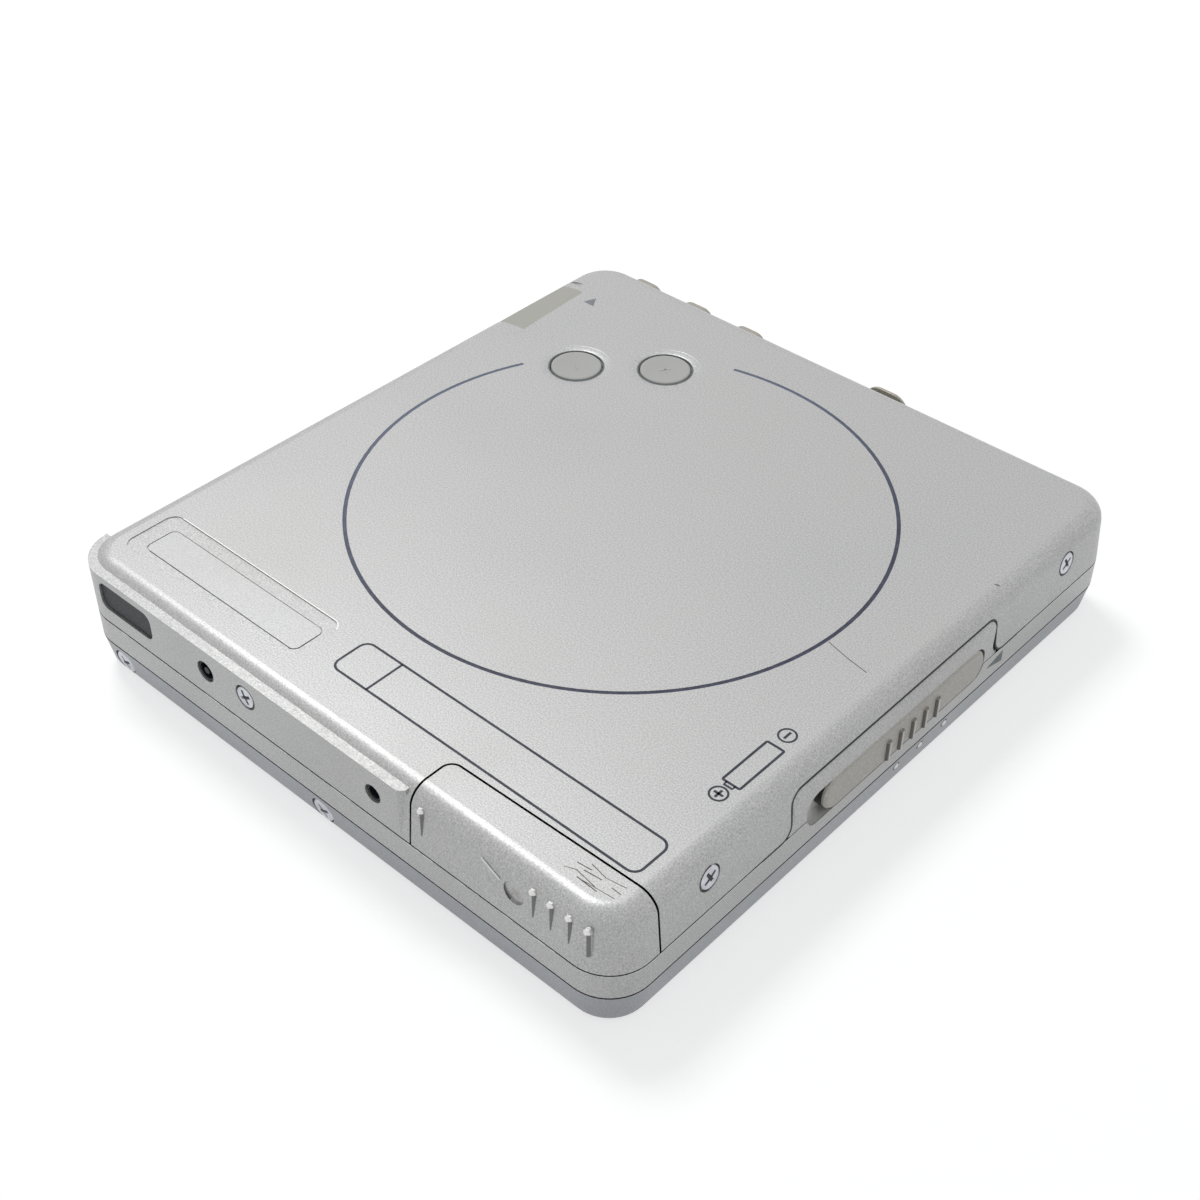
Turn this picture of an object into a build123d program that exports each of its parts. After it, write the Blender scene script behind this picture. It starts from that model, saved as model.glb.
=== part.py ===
"""Portable minidisc player, standing on its lid with the rear face up.

X runs along the front side, Y runs to the back, Z is up. The origin is the
centre of the lid's flat resting face. All sizes are in millimetres.
"""

import os
from math import cos, radians, sin, tan

from build123d import *

os.makedirs("parts", exist_ok=True)

# ---------------------------------------------------------------- dimensions
CASE_X = 80.0  # width across the front side
CASE_Y = 86.7  # depth from front to back
CASE_Z = 15.0  # height from the resting face to the rear face
LID_TOP = 4.6  # parting plane between the lid and the middle frame
BAND_TOP = 7.9  # parting plane between the middle frame and the rear cover
SEAM = 0.18  # open seam at both parting planes
WIDE_SEAM = 0.25  # open seam around the battery door and the latch panel
WALL = 0.9  # wall of the mouldings
PLAN_R = 5.0  # corner radius seen from above
SHOULDER_R = 2.2  # rounding between the rear face and the sides
DRAFT = 5.0  # draft of the rear cover's front and right sides, degrees
LID_DRAFT = 10.0  # inward lean of the lid's sides, degrees
LID_EDGE_R = 1.5  # rounding round the lid's flat face

FRONT = -CASE_Y / 2
BACK = CASE_Y / 2
RIGHT = CASE_X / 2
LEFT = -CASE_X / 2
COVER_Z0 = BAND_TOP + SEAM / 2
BAND_Z0 = LID_TOP + SEAM / 2
BAND_Z1 = BAND_TOP - SEAM / 2
LID_Z1 = LID_TOP - SEAM / 2
COVER_IN_Z = CASE_Z - WALL  # underside of the rear face

DISC_X = -1.3  # disc centre, also the centre of the engraved ring
DISC_Y = 3.8
CARTRIDGE_X = 68.0
CARTRIDGE_Y = 72.0
RUNNING = 0.03  # radial clearance of a shaft in its bearing
CHASSIS_SCREWS = [(-31.0, -40.0), (11.0, -40.0)]

# Hinge between the lid and the case, along Y at the left side.
HINGE_X = LEFT + 1.4
HINGE_Z = LID_TOP + 0.15
HINGE_PIN_R = 0.45
HINGE_EYE_R = 0.9
HINGE_RELIEF_Z = 3.8  # top of the lid's wall along the hinge

# Front panel, battery door and latch panel on the rear cover.
PANEL_TOP = CASE_Z - 0.6
PANEL_X1 = 12.9
PANEL_END = 0.6  # bevel at the panel's right end
DOOR_X0 = 13.65
DOOR_X1 = 37.0
DOOR_Y_LEFT = -37.4
DOOR_Y_RIGHT = -36.95
DOOR_CORNER_R = 1.3
HUMP_Y0 = -17.5
HUMP_Y1 = 18.3
HUMP_TOP = 13.2
HUMP_FOOT_R = 1.6
HUMP_FACE = RIGHT - 0.05

# Open slider in its pocket.
POCKET_Y0 = -15.1
POCKET_Y1 = 16.2
POCKET_Z0 = 6.4
POCKET_Z1 = 10.8
POCKET_FLOOR_X = 38.55
POCKET_BACK_X = 37.8

# Inner levels.
HOLDER_Z0 = 1.2
HOLDER_SHEET = 0.3
HOLDER_TOP = 6.9
CHASSIS_Z0 = 7.05
CHASSIS_Z1 = 7.55
BOARD_Z0 = 11.9
BOARD_Z1 = 12.5
SHAFT_Z = 9.75  # lead screw and its gears

# Battery bay.
BAY_X0 = 20.0
BAY_X1 = 37.6
BAY_Y0 = -40.4
BAY_Y1 = 28.6
BAY_FLOOR_Z = 7.6

# Controls.
VOLUME_SPOTS = {"minus": (-24.4, 21.2), "plus": (-15.7, 28.1)}
VOLUME_R = 3.15
KEY_Z = 11.6
SMALL_KEY_X = {"back": -32.9, "forward": -24.1, "stop": -15.3}
PLAY_KEY_X = 6.1
JACK_X = 27.0
JACK_Z = 11.2
JACK_R = 1.8

# Side screws of the case: each is (point on the wall, outward direction).
SCREW_Z = 11.85
CASE_SCREWS = [
    ((-10.5, FRONT), (0, -1)),
    ((RIGHT, -29.8), (1, 0)),
    ((RIGHT, 32.4), (1, 0)),
    ((18.0, BACK), (0, 1)),
    ((LEFT, -28.0), (-1, 0)),
]
SCREW_HEAD_R = 1.4
SCREW_SHANK_R = 0.6
LID_SCREW_Z = 2.25
LID_SCREW_X = (-33.6, -0.3)
LID_SCREW_HEAD_R = 1.5


def wall_inset(height):
    """How far the drafted rear cover stands in from its foot at a height."""
    return (height - COVER_Z0) * tan(radians(DRAFT))


def side_plane(point, outward, height):
    """A plane on a side wall with its normal pointing outward."""
    return Plane(
        origin=(point[0], point[1], height),
        x_dir=(-outward[1], outward[0], 0),
        z_dir=(outward[0], outward[1], 0),
    )


def pushed_in(point, outward, depth):
    """The point moved inward, against the outward direction."""
    return (point[0] - outward[0] * depth, point[1] - outward[1] * depth)


def door_outline(grow):
    """Plan of the battery door: a strip that turns the front-right corner."""
    with BuildSketch() as outline:
        with BuildLine():
            Polyline(
                (DOOR_X0, FRONT - 4),
                (DOOR_X0, DOOR_Y_LEFT),
                (DOOR_X1, DOOR_Y_RIGHT),
                (RIGHT + 4, DOOR_Y_RIGHT),
                (RIGHT + 4, FRONT - 4),
                close=True,
            )
        make_face()
        corner = outline.vertices().sort_by_distance((DOOR_X0, DOOR_Y_LEFT))[0]
        fillet(corner, DOOR_CORNER_R)
        offset(amount=grow, kind=Kind.INTERSECTION)
    return outline.sketch


def hump_outline(grow):
    """Side view of the latch panel that rises into the rear cover's wall."""
    with BuildSketch() as outline:
        with BuildLine():
            Polyline(
                (HUMP_Y0 - 6, BAND_TOP - 2),
                (HUMP_Y0 - 6, BAND_TOP),
                (HUMP_Y0, BAND_TOP),
                (HUMP_Y0, HUMP_TOP),
                (HUMP_Y1, HUMP_TOP),
                (HUMP_Y1, BAND_TOP),
                (HUMP_Y1 + 6, BAND_TOP),
                (HUMP_Y1 + 6, BAND_TOP - 2),
                close=True,
            )
        make_face()
        inner = outline.vertices().filter_by(
            lambda v: HUMP_Y0 - 1 < v.X < HUMP_Y1 + 1
        )
        fillet(inner, HUMP_FOOT_R)
        offset(amount=grow)
    return outline.sketch


def gear_outline(teeth, module, phase=0.0):
    """Spur gear face with straight flanks; phase 0.5 puts a gap on the X axis."""
    pitch_r = teeth * module / 2
    root_r = pitch_r - 1.2 * module
    tip_r = pitch_r + 0.9 * module
    step = 360 / teeth
    points = []
    for tooth in range(teeth):
        for radius, part in ((root_r, -0.34), (tip_r, -0.12), (tip_r, 0.12), (root_r, 0.34)):
            angle = radians((tooth + part + phase) * step)
            points.append((radius * cos(angle), radius * sin(angle)))
    with BuildSketch() as outline:
        with BuildLine():
            Polyline(*points, close=True)
        make_face()
    return outline.sketch


# ------------------------------------------------- shared forms of the cover
def cover_form(inset, top):
    """Rounded block that leans in at the front and right, upright elsewhere."""
    with BuildPart() as form:
        with Locations((0, 0, COVER_Z0)):
            Box(
                CASE_X - 2 * inset,
                CASE_Y - 2 * inset,
                top - COVER_Z0,
                align=(Align.CENTER, Align.CENTER, Align.MIN),
            )
        front = form.faces().sort_by(Axis.Y)[0]
        right = form.faces().sort_by(Axis.X)[-1]
        draft([front, right], Plane.XY.offset(COVER_Z0), DRAFT)
        corners = form.edges().filter_by(lambda e: abs(e.tangent_at(0.5).Z) > 0.9)
        fillet(corners, PLAN_R - inset)
    return form.part


with BuildPart() as cover_outer:
    add(cover_form(0, CASE_Z))
    fillet(cover_outer.faces().sort_by(Axis.Z)[-1].edges(), SHOULDER_R)

with BuildPart() as cover_cavity:
    add(cover_form(WALL, COVER_IN_Z))
    chamfer(cover_cavity.faces().sort_by(Axis.Z)[-1].edges(), WALL)

# The flat front panel fills the shoulder's rounding up to a narrow ledge.
with BuildPart() as panel_block:
    with BuildSketch(Plane.XY.offset(COVER_Z0)):
        RectangleRounded(CASE_X, CASE_Y, PLAN_R)
    extrude(amount=PANEL_TOP - COVER_Z0)
    with BuildSketch():
        with BuildLine():
            Polyline(
                (LEFT - 1, FRONT + PLAN_R),
                (LEFT - 1, FRONT - 1),
                (PANEL_X1 - PANEL_END, FRONT - 1),
                (PANEL_X1 - PANEL_END, FRONT),
                (PANEL_X1, FRONT + PANEL_END),
                (PANEL_X1, FRONT + PLAN_R),
                close=True,
            )
        make_face()
    extrude(amount=CASE_Z, mode=Mode.INTERSECT)

# ------------------------------------------------------------- rear cover
RING_R = 31.06
RING_W = 0.46
RING_DEPTH = 0.15
RING_START = 155.0
RING_SWEEP = 310.0
LABEL_STEP = 0.12
WINDOW_X = (-35.1, -26.1)
WINDOW_Z = (9.9, 13.5)
LEFT_SOCKET = (-17.0, 11.4, 1.3)  # x, z, radius
RIGHT_SOCKET = (8.65, 11.4, 1.1)
SCOOP_CORNER = (-34.6, 22.9)  # near inner corner of the finger scoop
SCOOP_LENGTH = 13.5
SCOOP_TURN = 9.8  # turn of its inner edge towards the left side, degrees
SCOOP_ANGLE = 10.0
HOLD_Y = (24.2, 33.4)
HOLD_Z = 10.4
HOLD_POCKET_X = LEFT + 0.65
DISH_DEPTH = 0.4
DISH_GROW = 1.1
KEY_SIZE = (5.2, 3.4)
PLAY_KEY_SIZE = (6.0, 3.4)
COLLAR_SIZE = (14.0, 4.6)
COLLAR_X = 4.0
COLLAR_Z = 10.9
KEY_PLAY = 0.15
KEY_FACE = BACK + 0.75
COLLAR_FACE = BACK + 1.25
PLAY_KEY_FACE = BACK + 2.15

with BuildPart() as rear_cover:
    add(cover_outer.part)
    add(panel_block.part)
    add(cover_cavity.part, mode=Mode.SUBTRACT)

    # Thicker wall behind the finger scoop, then the scoop's flat facet.
    with Locations((LEFT + 0.8, SCOOP_CORNER[1] - 0.8, 12.9)):
        Box(5.5, SCOOP_LENGTH + 1.6, 1.35, align=(Align.MIN, Align.MIN, Align.MIN))
    turn = radians(SCOOP_TURN)
    tilt = radians(SCOOP_ANGLE)
    scoop_plane = Plane(
        origin=(SCOOP_CORNER[0], SCOOP_CORNER[1], CASE_Z),
        x_dir=(-sin(turn), cos(turn), 0),
        z_dir=(-sin(tilt) * cos(turn), -sin(tilt) * sin(turn), cos(tilt)),
    )
    with BuildSketch(scoop_plane):
        Rectangle(SCOOP_LENGTH, 9, align=(Align.MIN, Align.MIN))
    extrude(amount=3, mode=Mode.SUBTRACT)

    # Room for the battery door and the latch panel.
    with BuildSketch(Plane.XY.offset(BAND_TOP - 1)):
        add(door_outline(WIDE_SEAM / 2))
    extrude(amount=CASE_Z, mode=Mode.SUBTRACT)
    with BuildSketch(Plane.YZ.offset(POCKET_BACK_X - 0.5)):
        add(hump_outline(WIDE_SEAM / 2))
    extrude(amount=4, mode=Mode.SUBTRACT)

    # Engraved ring, broken where the volume buttons sit.
    with BuildSketch(Plane.XY.offset(CASE_Z)):
        with BuildLine():
            CenterArc((DISC_X, DISC_Y), RING_R, RING_START, RING_SWEEP)
        trace(line_width=RING_W)
    extrude(amount=-RING_DEPTH, mode=Mode.SUBTRACT)

    # Two-step recess for the blank plate.
    with BuildSketch(Plane.XY.offset(CASE_Z)):
        with Locations((-22.65, -35.0)):
            RectangleRounded(28.1, 7.3, 1.4)
    extrude(amount=-LABEL_STEP, mode=Mode.SUBTRACT)
    with BuildSketch(Plane.XY.offset(CASE_Z - LABEL_STEP)):
        with Locations((-21.95, -35.25)):
            RectangleRounded(25.1, 4.3, 0.9)
    extrude(amount=-LABEL_STEP, mode=Mode.SUBTRACT)

    # Dished holes for the two volume buttons.
    for spot in VOLUME_SPOTS.values():
        with Locations((spot[0], spot[1], CASE_Z - DISH_DEPTH / 2)):
            Cone(VOLUME_R + 0.2, VOLUME_R + 0.2 + DISH_GROW, DISH_DEPTH, mode=Mode.SUBTRACT)
        with Locations((spot[0], spot[1], CASE_Z)):
            Cylinder(VOLUME_R + 0.2, 4, mode=Mode.SUBTRACT)

    # Window and the two round sockets in the front panel.
    with BuildSketch(Plane.XZ.offset(-FRONT + 1)):
        with Locations((sum(WINDOW_X) / 2, sum(WINDOW_Z) / 2)):
            RectangleRounded(WINDOW_X[1] - WINDOW_X[0], WINDOW_Z[1] - WINDOW_Z[0], 1.1)
        for socket in (LEFT_SOCKET, RIGHT_SOCKET):
            with Locations((socket[0], socket[1])):
                Circle(socket[2])
    extrude(amount=-3, mode=Mode.SUBTRACT)

    # Key slots, the collar's opening and the jack's hole in the back wall.
    for key_x in SMALL_KEY_X.values():
        with BuildSketch(Plane.XZ.offset(-BACK - 1)):
            with Locations((key_x, KEY_Z)):
                SlotOverall(KEY_SIZE[0] + 2 * KEY_PLAY, KEY_SIZE[1] + 2 * KEY_PLAY)
        extrude(amount=4, mode=Mode.SUBTRACT)
    with BuildSketch(Plane.XZ.offset(-BACK - 1)):
        with Locations((COLLAR_X, COLLAR_Z)):
            SlotOverall(COLLAR_SIZE[0] + 0.1, COLLAR_SIZE[1] + 0.1)
        with Locations((JACK_X, JACK_Z)):
            Circle(2.6)
    extrude(amount=4, mode=Mode.SUBTRACT)

    # Hold switch: shallow pocket outside, slot for its stem.
    with BuildSketch(Plane.YZ.offset(LEFT - 1)):
        with Locations((sum(HOLD_Y) / 2, HOLD_Z)):
            RectangleRounded(HOLD_Y[1] - HOLD_Y[0], 2.2, 0.8)
    extrude(amount=HOLD_POCKET_X - LEFT + 1, mode=Mode.SUBTRACT)
    with BuildSketch(Plane.YZ.offset(LEFT - 1)):
        with Locations((28.8, HOLD_Z)):
            SlotOverall(6.0, 1.0)
    extrude(amount=3, mode=Mode.SUBTRACT)

    # Sunk seats of the side screws.
    for point, outward in CASE_SCREWS:
        with BuildSketch(side_plane(pushed_in(point, outward, -1), outward, SCREW_Z)):
            Circle(SCREW_HEAD_R + 0.1)
        extrude(amount=-1.9, mode=Mode.SUBTRACT)
        with BuildSketch(side_plane(pushed_in(point, outward, -1), outward, SCREW_Z)):
            Circle(SCREW_SHANK_R + 0.1)
        extrude(amount=-3, mode=Mode.SUBTRACT)
rear_cover.part.label = "rear_cover"
export_step(rear_cover.part, "parts/rear_cover.step")

# ----------------------------------------------------------- battery door
RIDGE_X = (15.05, 29.7, 31.9, 34.15, 36.4)
RIDGE_Z = (10.1, 13.3)
RIDGE_R = 0.45
THUMB_DIMPLE = (27.4, 11.45, 1.3)  # x, z, radius

with BuildPart() as battery_door:
    add(cover_outer.part)
    with BuildSketch(Plane.XY.offset(BAND_TOP - 1)):
        add(door_outline(-WIDE_SEAM / 2))
    extrude(amount=CASE_Z, mode=Mode.INTERSECT)
    add(cover_cavity.part, mode=Mode.SUBTRACT)

    # Lip that slides under the rear face, and the tongue behind the panel.
    with Locations((15.6, -39.4, 13.3)):
        Box(19.0, DOOR_Y_RIGHT + 39.4, 0.65, align=(Align.MIN, Align.MIN, Align.MIN))
    with Locations((15.6, -39.4, 13.3)):
        Box(19.0, 0.9, 1.2, align=(Align.MIN, Align.MIN, Align.MIN))
    with Locations((DOOR_X0 + 0.2, FRONT + 0.95, 8.2)):
        Box(7.0, 1.0, 4.8, align=(Align.MIN, Align.MIN, Align.MIN))
    with Locations((12.7, FRONT + 1.35, 8.9)):
        Box(3.0, 0.6, 3.4, align=(Align.MIN, Align.MIN, Align.MIN))

    # Shallow dimple and the upright grip ridges.
    with BuildSketch(Plane.XZ.offset(-FRONT + 0.1)):
        with Locations((THUMB_DIMPLE[0], THUMB_DIMPLE[1])):
            Circle(THUMB_DIMPLE[2])
    extrude(amount=-0.55, mode=Mode.SUBTRACT)
    for ridge_x in RIDGE_X:
        with BuildSketch(Plane.XY.offset(RIDGE_Z[0])):
            with Locations((ridge_x, FRONT + 0.55)):
                Circle(RIDGE_R)
        extrude(amount=RIDGE_Z[1] - RIDGE_Z[0])
        with Locations((ridge_x, FRONT + 0.55, RIDGE_Z[1] + 0.15)):
            Cone(RIDGE_R, RIDGE_R / 2, 0.3)
battery_door.part.label = "battery_door"
export_step(battery_door.part, "parts/battery_door.step")

# ------------------------------------------------------------ door contact
with BuildPart() as door_contact:
    with Locations((24.0, FRONT + 1.4, 8.8)):
        Box(10.0, 0.3, 4.2, align=(Align.MIN, Align.MIN, Align.MIN))
    with BuildSketch(Plane.XZ.offset(-FRONT - 1.7)):
        with Locations((29.0, 10.9)):
            Circle(1.6)
    extrude(amount=-0.9, taper=25)
door_contact.part.label = "door_contact"
export_step(door_contact.part, "parts/door_contact.step")

# ----------------------------------------------------------- middle frame
LEDGE_Z = (6.3, CHASSIS_Z0)
HINGE_SIDES = (-1, 1)
FRAME_LUG_Y = (32.15, 34.9)
HINGE_NOTCH_Y = (28.2, 32.05)
TAB_SIZE = (4.0, 0.6)
TAB_DEPTH = 1.35
TAB_TOP = 12.85
STEM_Y = (0.2, 4.0)
STEM_Z = (6.55, 7.0)
SLIDER_TRAVEL = 2.7

with BuildPart() as mid_frame:
    with BuildSketch(Plane.XY.offset(BAND_Z0)):
        RectangleRounded(CASE_X, CASE_Y, PLAN_R)
        RectangleRounded(CASE_X - 2 * WALL, CASE_Y - 2 * WALL, PLAN_R - WALL, mode=Mode.SUBTRACT)
    extrude(amount=BAND_Z1 - BAND_Z0)

    # Latch panel with a rounded top edge, and the slider's pocket.
    with BuildSketch(Plane.YZ.offset(POCKET_BACK_X)):
        add(hump_outline(-WIDE_SEAM / 2))
    extrude(amount=HUMP_FACE - POCKET_BACK_X)
    hump_rim = mid_frame.edges().filter_by(
        lambda e: abs(e.center().X - HUMP_FACE) < 0.01 and e.center().Z > BAND_TOP + 2
    )
    fillet(hump_rim, 0.6)
    with BuildSketch(Plane.YZ.offset(RIGHT + 1)):
        with Locations(((POCKET_Y0 + POCKET_Y1) / 2, (POCKET_Z0 + POCKET_Z1) / 2)):
            RectangleRounded(POCKET_Y1 - POCKET_Y0, POCKET_Z1 - POCKET_Z0, 1.9)
    extrude(amount=POCKET_FLOOR_X - RIGHT - 1, mode=Mode.SUBTRACT)
    with Locations((POCKET_BACK_X - 0.5, STEM_Y[0] - SLIDER_TRAVEL - 0.3, STEM_Z[0] - 0.05)):
        Box(
            2,
            STEM_Y[1] - STEM_Y[0] + SLIDER_TRAVEL + 0.6,
            STEM_Z[1] - STEM_Z[0] + 0.1,
            align=(Align.MIN, Align.MIN, Align.MIN),
            mode=Mode.SUBTRACT,
        )

    # Ledges that carry the chassis and the battery bay.
    for low, high in (
        ((-34.0, FRONT + WALL - 0.1), (14.0, FRONT + 4.6)),
        ((-34.0, BACK - 2.5), (16.0, BACK - WALL + 0.1)),
        ((36.2, -38.0), (RIGHT - WALL + 0.1, -30.0)),
        ((36.2, 28.0), (RIGHT - WALL + 0.1, 38.0)),
    ):
        with Locations((low[0], low[1], LEDGE_Z[0])):
            Box(
                high[0] - low[0],
                high[1] - low[1],
                LEDGE_Z[1] - LEDGE_Z[0],
                align=(Align.MIN, Align.MIN, Align.MIN),
            )

    for spot in CHASSIS_SCREWS:
        with Locations((spot[0], spot[1], CHASSIS_Z0)):
            Cylinder(0.55, 3, mode=Mode.SUBTRACT)

    # Threaded tabs for the side screws.
    for point, outward in CASE_SCREWS:
        foot = side_plane(pushed_in(point, outward, WALL - 0.1), outward, 7.0)
        with BuildSketch(foot):
            Rectangle(TAB_SIZE[0], 1.4)
        extrude(amount=-(TAB_DEPTH + TAB_SIZE[1] - WALL + 0.1))
        blade = side_plane(pushed_in(point, outward, TAB_DEPTH), outward, (TAB_TOP + 7.0) / 2)
        with BuildSketch(blade):
            Rectangle(TAB_SIZE[0], TAB_TOP - 7.0)
        extrude(amount=-TAB_SIZE[1])
        with BuildSketch(side_plane(point, outward, SCREW_Z)):
            Circle(SCREW_SHANK_R)
        extrude(amount=-3, mode=Mode.SUBTRACT)

    # Hinge eyes, and room for the lid's eyes and the holder's ears.
    for side in HINGE_SIDES:
        y_low, y_high = sorted((side * FRAME_LUG_Y[0], side * FRAME_LUG_Y[1]))
        with BuildSketch(Plane.XZ.offset(-y_high)):
            with Locations((HINGE_X, HINGE_Z)):
                Circle(HINGE_EYE_R)
            with Locations((HINGE_X, HINGE_Z)):
                Rectangle(2 * HINGE_EYE_R, 2.2, align=(Align.CENTER, Align.MIN))
        extrude(amount=y_high - y_low)
        with BuildSketch(Plane.XZ.offset(-y_high - 1)):
            with Locations((HINGE_X, HINGE_Z)):
                Circle(HINGE_PIN_R + RUNNING)
        extrude(amount=y_high - y_low + 2, mode=Mode.SUBTRACT)
        y_low, y_high = sorted((side * HINGE_NOTCH_Y[0], side * HINGE_NOTCH_Y[1]))
        with BuildSketch(Plane.XZ.offset(-y_high)):
            with Locations((HINGE_X, HINGE_Z)):
                Circle(HINGE_EYE_R + 0.25)
        extrude(amount=y_high - y_low, mode=Mode.SUBTRACT)
mid_frame.part.label = "mid_frame"
export_step(mid_frame.part, "parts/mid_frame.step")

# -------------------------------------------------------------- lid cover
LID_FLOOR = 0.8
LID_FLANGE_Y = 41.35
LID_NOTCH_Y = (28.2, 35.2)
CATCH_Y = (23.05, -20.95)  # near face of each catch
CATCH_LENGTH = 2.6

lid_top = Plane(origin=(0, 0, LID_Z1), x_dir=(1, 0, 0), z_dir=(0, 0, -1))

with BuildPart() as lid_cavity:
    with BuildSketch(lid_top):
        RectangleRounded(CASE_X - 2 * WALL, CASE_Y - 2 * WALL, PLAN_R - WALL)
    extrude(amount=LID_Z1 - LID_FLOOR, taper=LID_DRAFT)
    fillet(lid_cavity.faces().sort_by(Axis.Z)[0].edges(), 0.4)

with BuildPart() as lid_cover:
    with BuildSketch(lid_top):
        RectangleRounded(CASE_X, CASE_Y, PLAN_R)
    extrude(amount=LID_Z1, taper=LID_DRAFT)
    fillet(lid_cover.faces().sort_by(Axis.Z)[0].edges(), LID_EDGE_R)
    add(lid_cavity.part, mode=Mode.SUBTRACT)

    # Lower wall along the hinge, with notches for the hinge eyes.
    with Locations((LEFT - 1, 0, HINGE_RELIEF_Z)):
        Box(
            HINGE_X - LEFT + 1.3,
            CASE_Y,
            2,
            align=(Align.MIN, Align.CENTER, Align.MIN),
            mode=Mode.SUBTRACT,
        )
    for side in HINGE_SIDES:
        with Locations((LEFT - 1, side * sum(LID_NOTCH_Y) / 2, 2.5)):
            Box(
                4,
                LID_NOTCH_Y[1] - LID_NOTCH_Y[0],
                3,
                align=(Align.MIN, Align.CENTER, Align.MIN),
                mode=Mode.SUBTRACT,
            )

    # Latch catches: a post against the right wall with an overhang.
    for catch_y in CATCH_Y:
        with Locations((36.3, catch_y + 1.5, LID_FLOOR - 0.2)):
            Box(2.0, CATCH_LENGTH - 1.5, 3.7, align=(Align.MIN, Align.MIN, Align.MIN))
        with Locations((36.3, catch_y, 3.4)):
            Box(2.0, CATCH_LENGTH, 0.9, align=(Align.MIN, Align.MIN, Align.MIN))

    # Pads and seats of the lid screws.
    for side in HINGE_SIDES:
        for screw_x in LID_SCREW_X:
            wall = side_plane((screw_x, side * LID_FLANGE_Y), (0, side), LID_SCREW_Z)
            with BuildSketch(wall):
                Circle(1.4)
            extrude(amount=1.2)
            outside = side_plane((screw_x, side * (BACK + 1)), (0, side), LID_SCREW_Z)
            with BuildSketch(outside):
                Circle(LID_SCREW_HEAD_R + 0.1)
            extrude(amount=-1.95, mode=Mode.SUBTRACT)
            with BuildSketch(outside):
                Circle(0.8)
            extrude(amount=-5, mode=Mode.SUBTRACT)
lid_cover.part.label = "lid_cover"
export_step(lid_cover.part, "parts/lid_cover.step")

# -------------------------------------------------------------- lid frame
FRAME_SHEET = 0.3
LID_EYE_Y = (30.15, 32.0)

with BuildPart() as lid_frame:
    with BuildSketch(Plane.XY.offset(LID_FLOOR)):
        with Locations((-8.5, 0)):
            RectangleRounded(57.0, 2 * LID_FLANGE_Y - 0.4, 1.0)
        with Locations((-8.0, 0)):
            RectangleRounded(44.0, 70.0, 6.0, mode=Mode.SUBTRACT)
        with GridLocations(50.5, 50.0, 2, 2):
            Circle(1.2, mode=Mode.SUBTRACT)
    extrude(amount=FRAME_SHEET)
    for side in HINGE_SIDES:
        # Folded flange with the threads of the lid screws.
        with Locations((-17.0, side * (LID_FLANGE_Y - 0.2), LID_FLOOR)):
            Box(38.0, 0.4, 2.8, align=(Align.CENTER, Align.CENTER, Align.MIN))
        for screw_x in LID_SCREW_X:
            with BuildSketch(side_plane((screw_x, side * BACK), (0, side), LID_SCREW_Z)):
                Circle(0.7)
            extrude(amount=-4, mode=Mode.SUBTRACT)
        # Hinge arm that rises to an eye round the pin.
        y_low, y_high = sorted((side * LID_EYE_Y[0], side * LID_EYE_Y[1]))
        with BuildSketch(Plane.XZ.offset(-y_high)):
            with BuildLine():
                Polyline(
                    (-37.9, LID_FLOOR),
                    (HINGE_X - 0.8, HINGE_Z - 0.4),
                    (HINGE_X + 0.8, HINGE_Z + 0.4),
                    (-35.6, 1.6),
                    (-35.6, LID_FLOOR),
                    close=True,
                )
            make_face()
            with Locations((HINGE_X, HINGE_Z)):
                Circle(HINGE_EYE_R)
            with Locations((HINGE_X, HINGE_Z)):
                Circle(HINGE_PIN_R, mode=Mode.SUBTRACT)
        extrude(amount=y_high - y_low)
lid_frame.part.label = "lid_frame"
export_step(lid_frame.part, "parts/lid_frame.step")

# -------------------------------------------------------- cartridge holder
HOLDER_X = (-36.0, 33.0)
HOLDER_Y = (DISC_Y - CARTRIDGE_Y / 2 - 0.6, DISC_Y + CARTRIDGE_Y / 2 + 0.6)
HOLDER_LIP = 3.0
EAR_Y = (28.9, 29.9)
LENGTH_X = HOLDER_X[1] - HOLDER_X[0]

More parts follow.
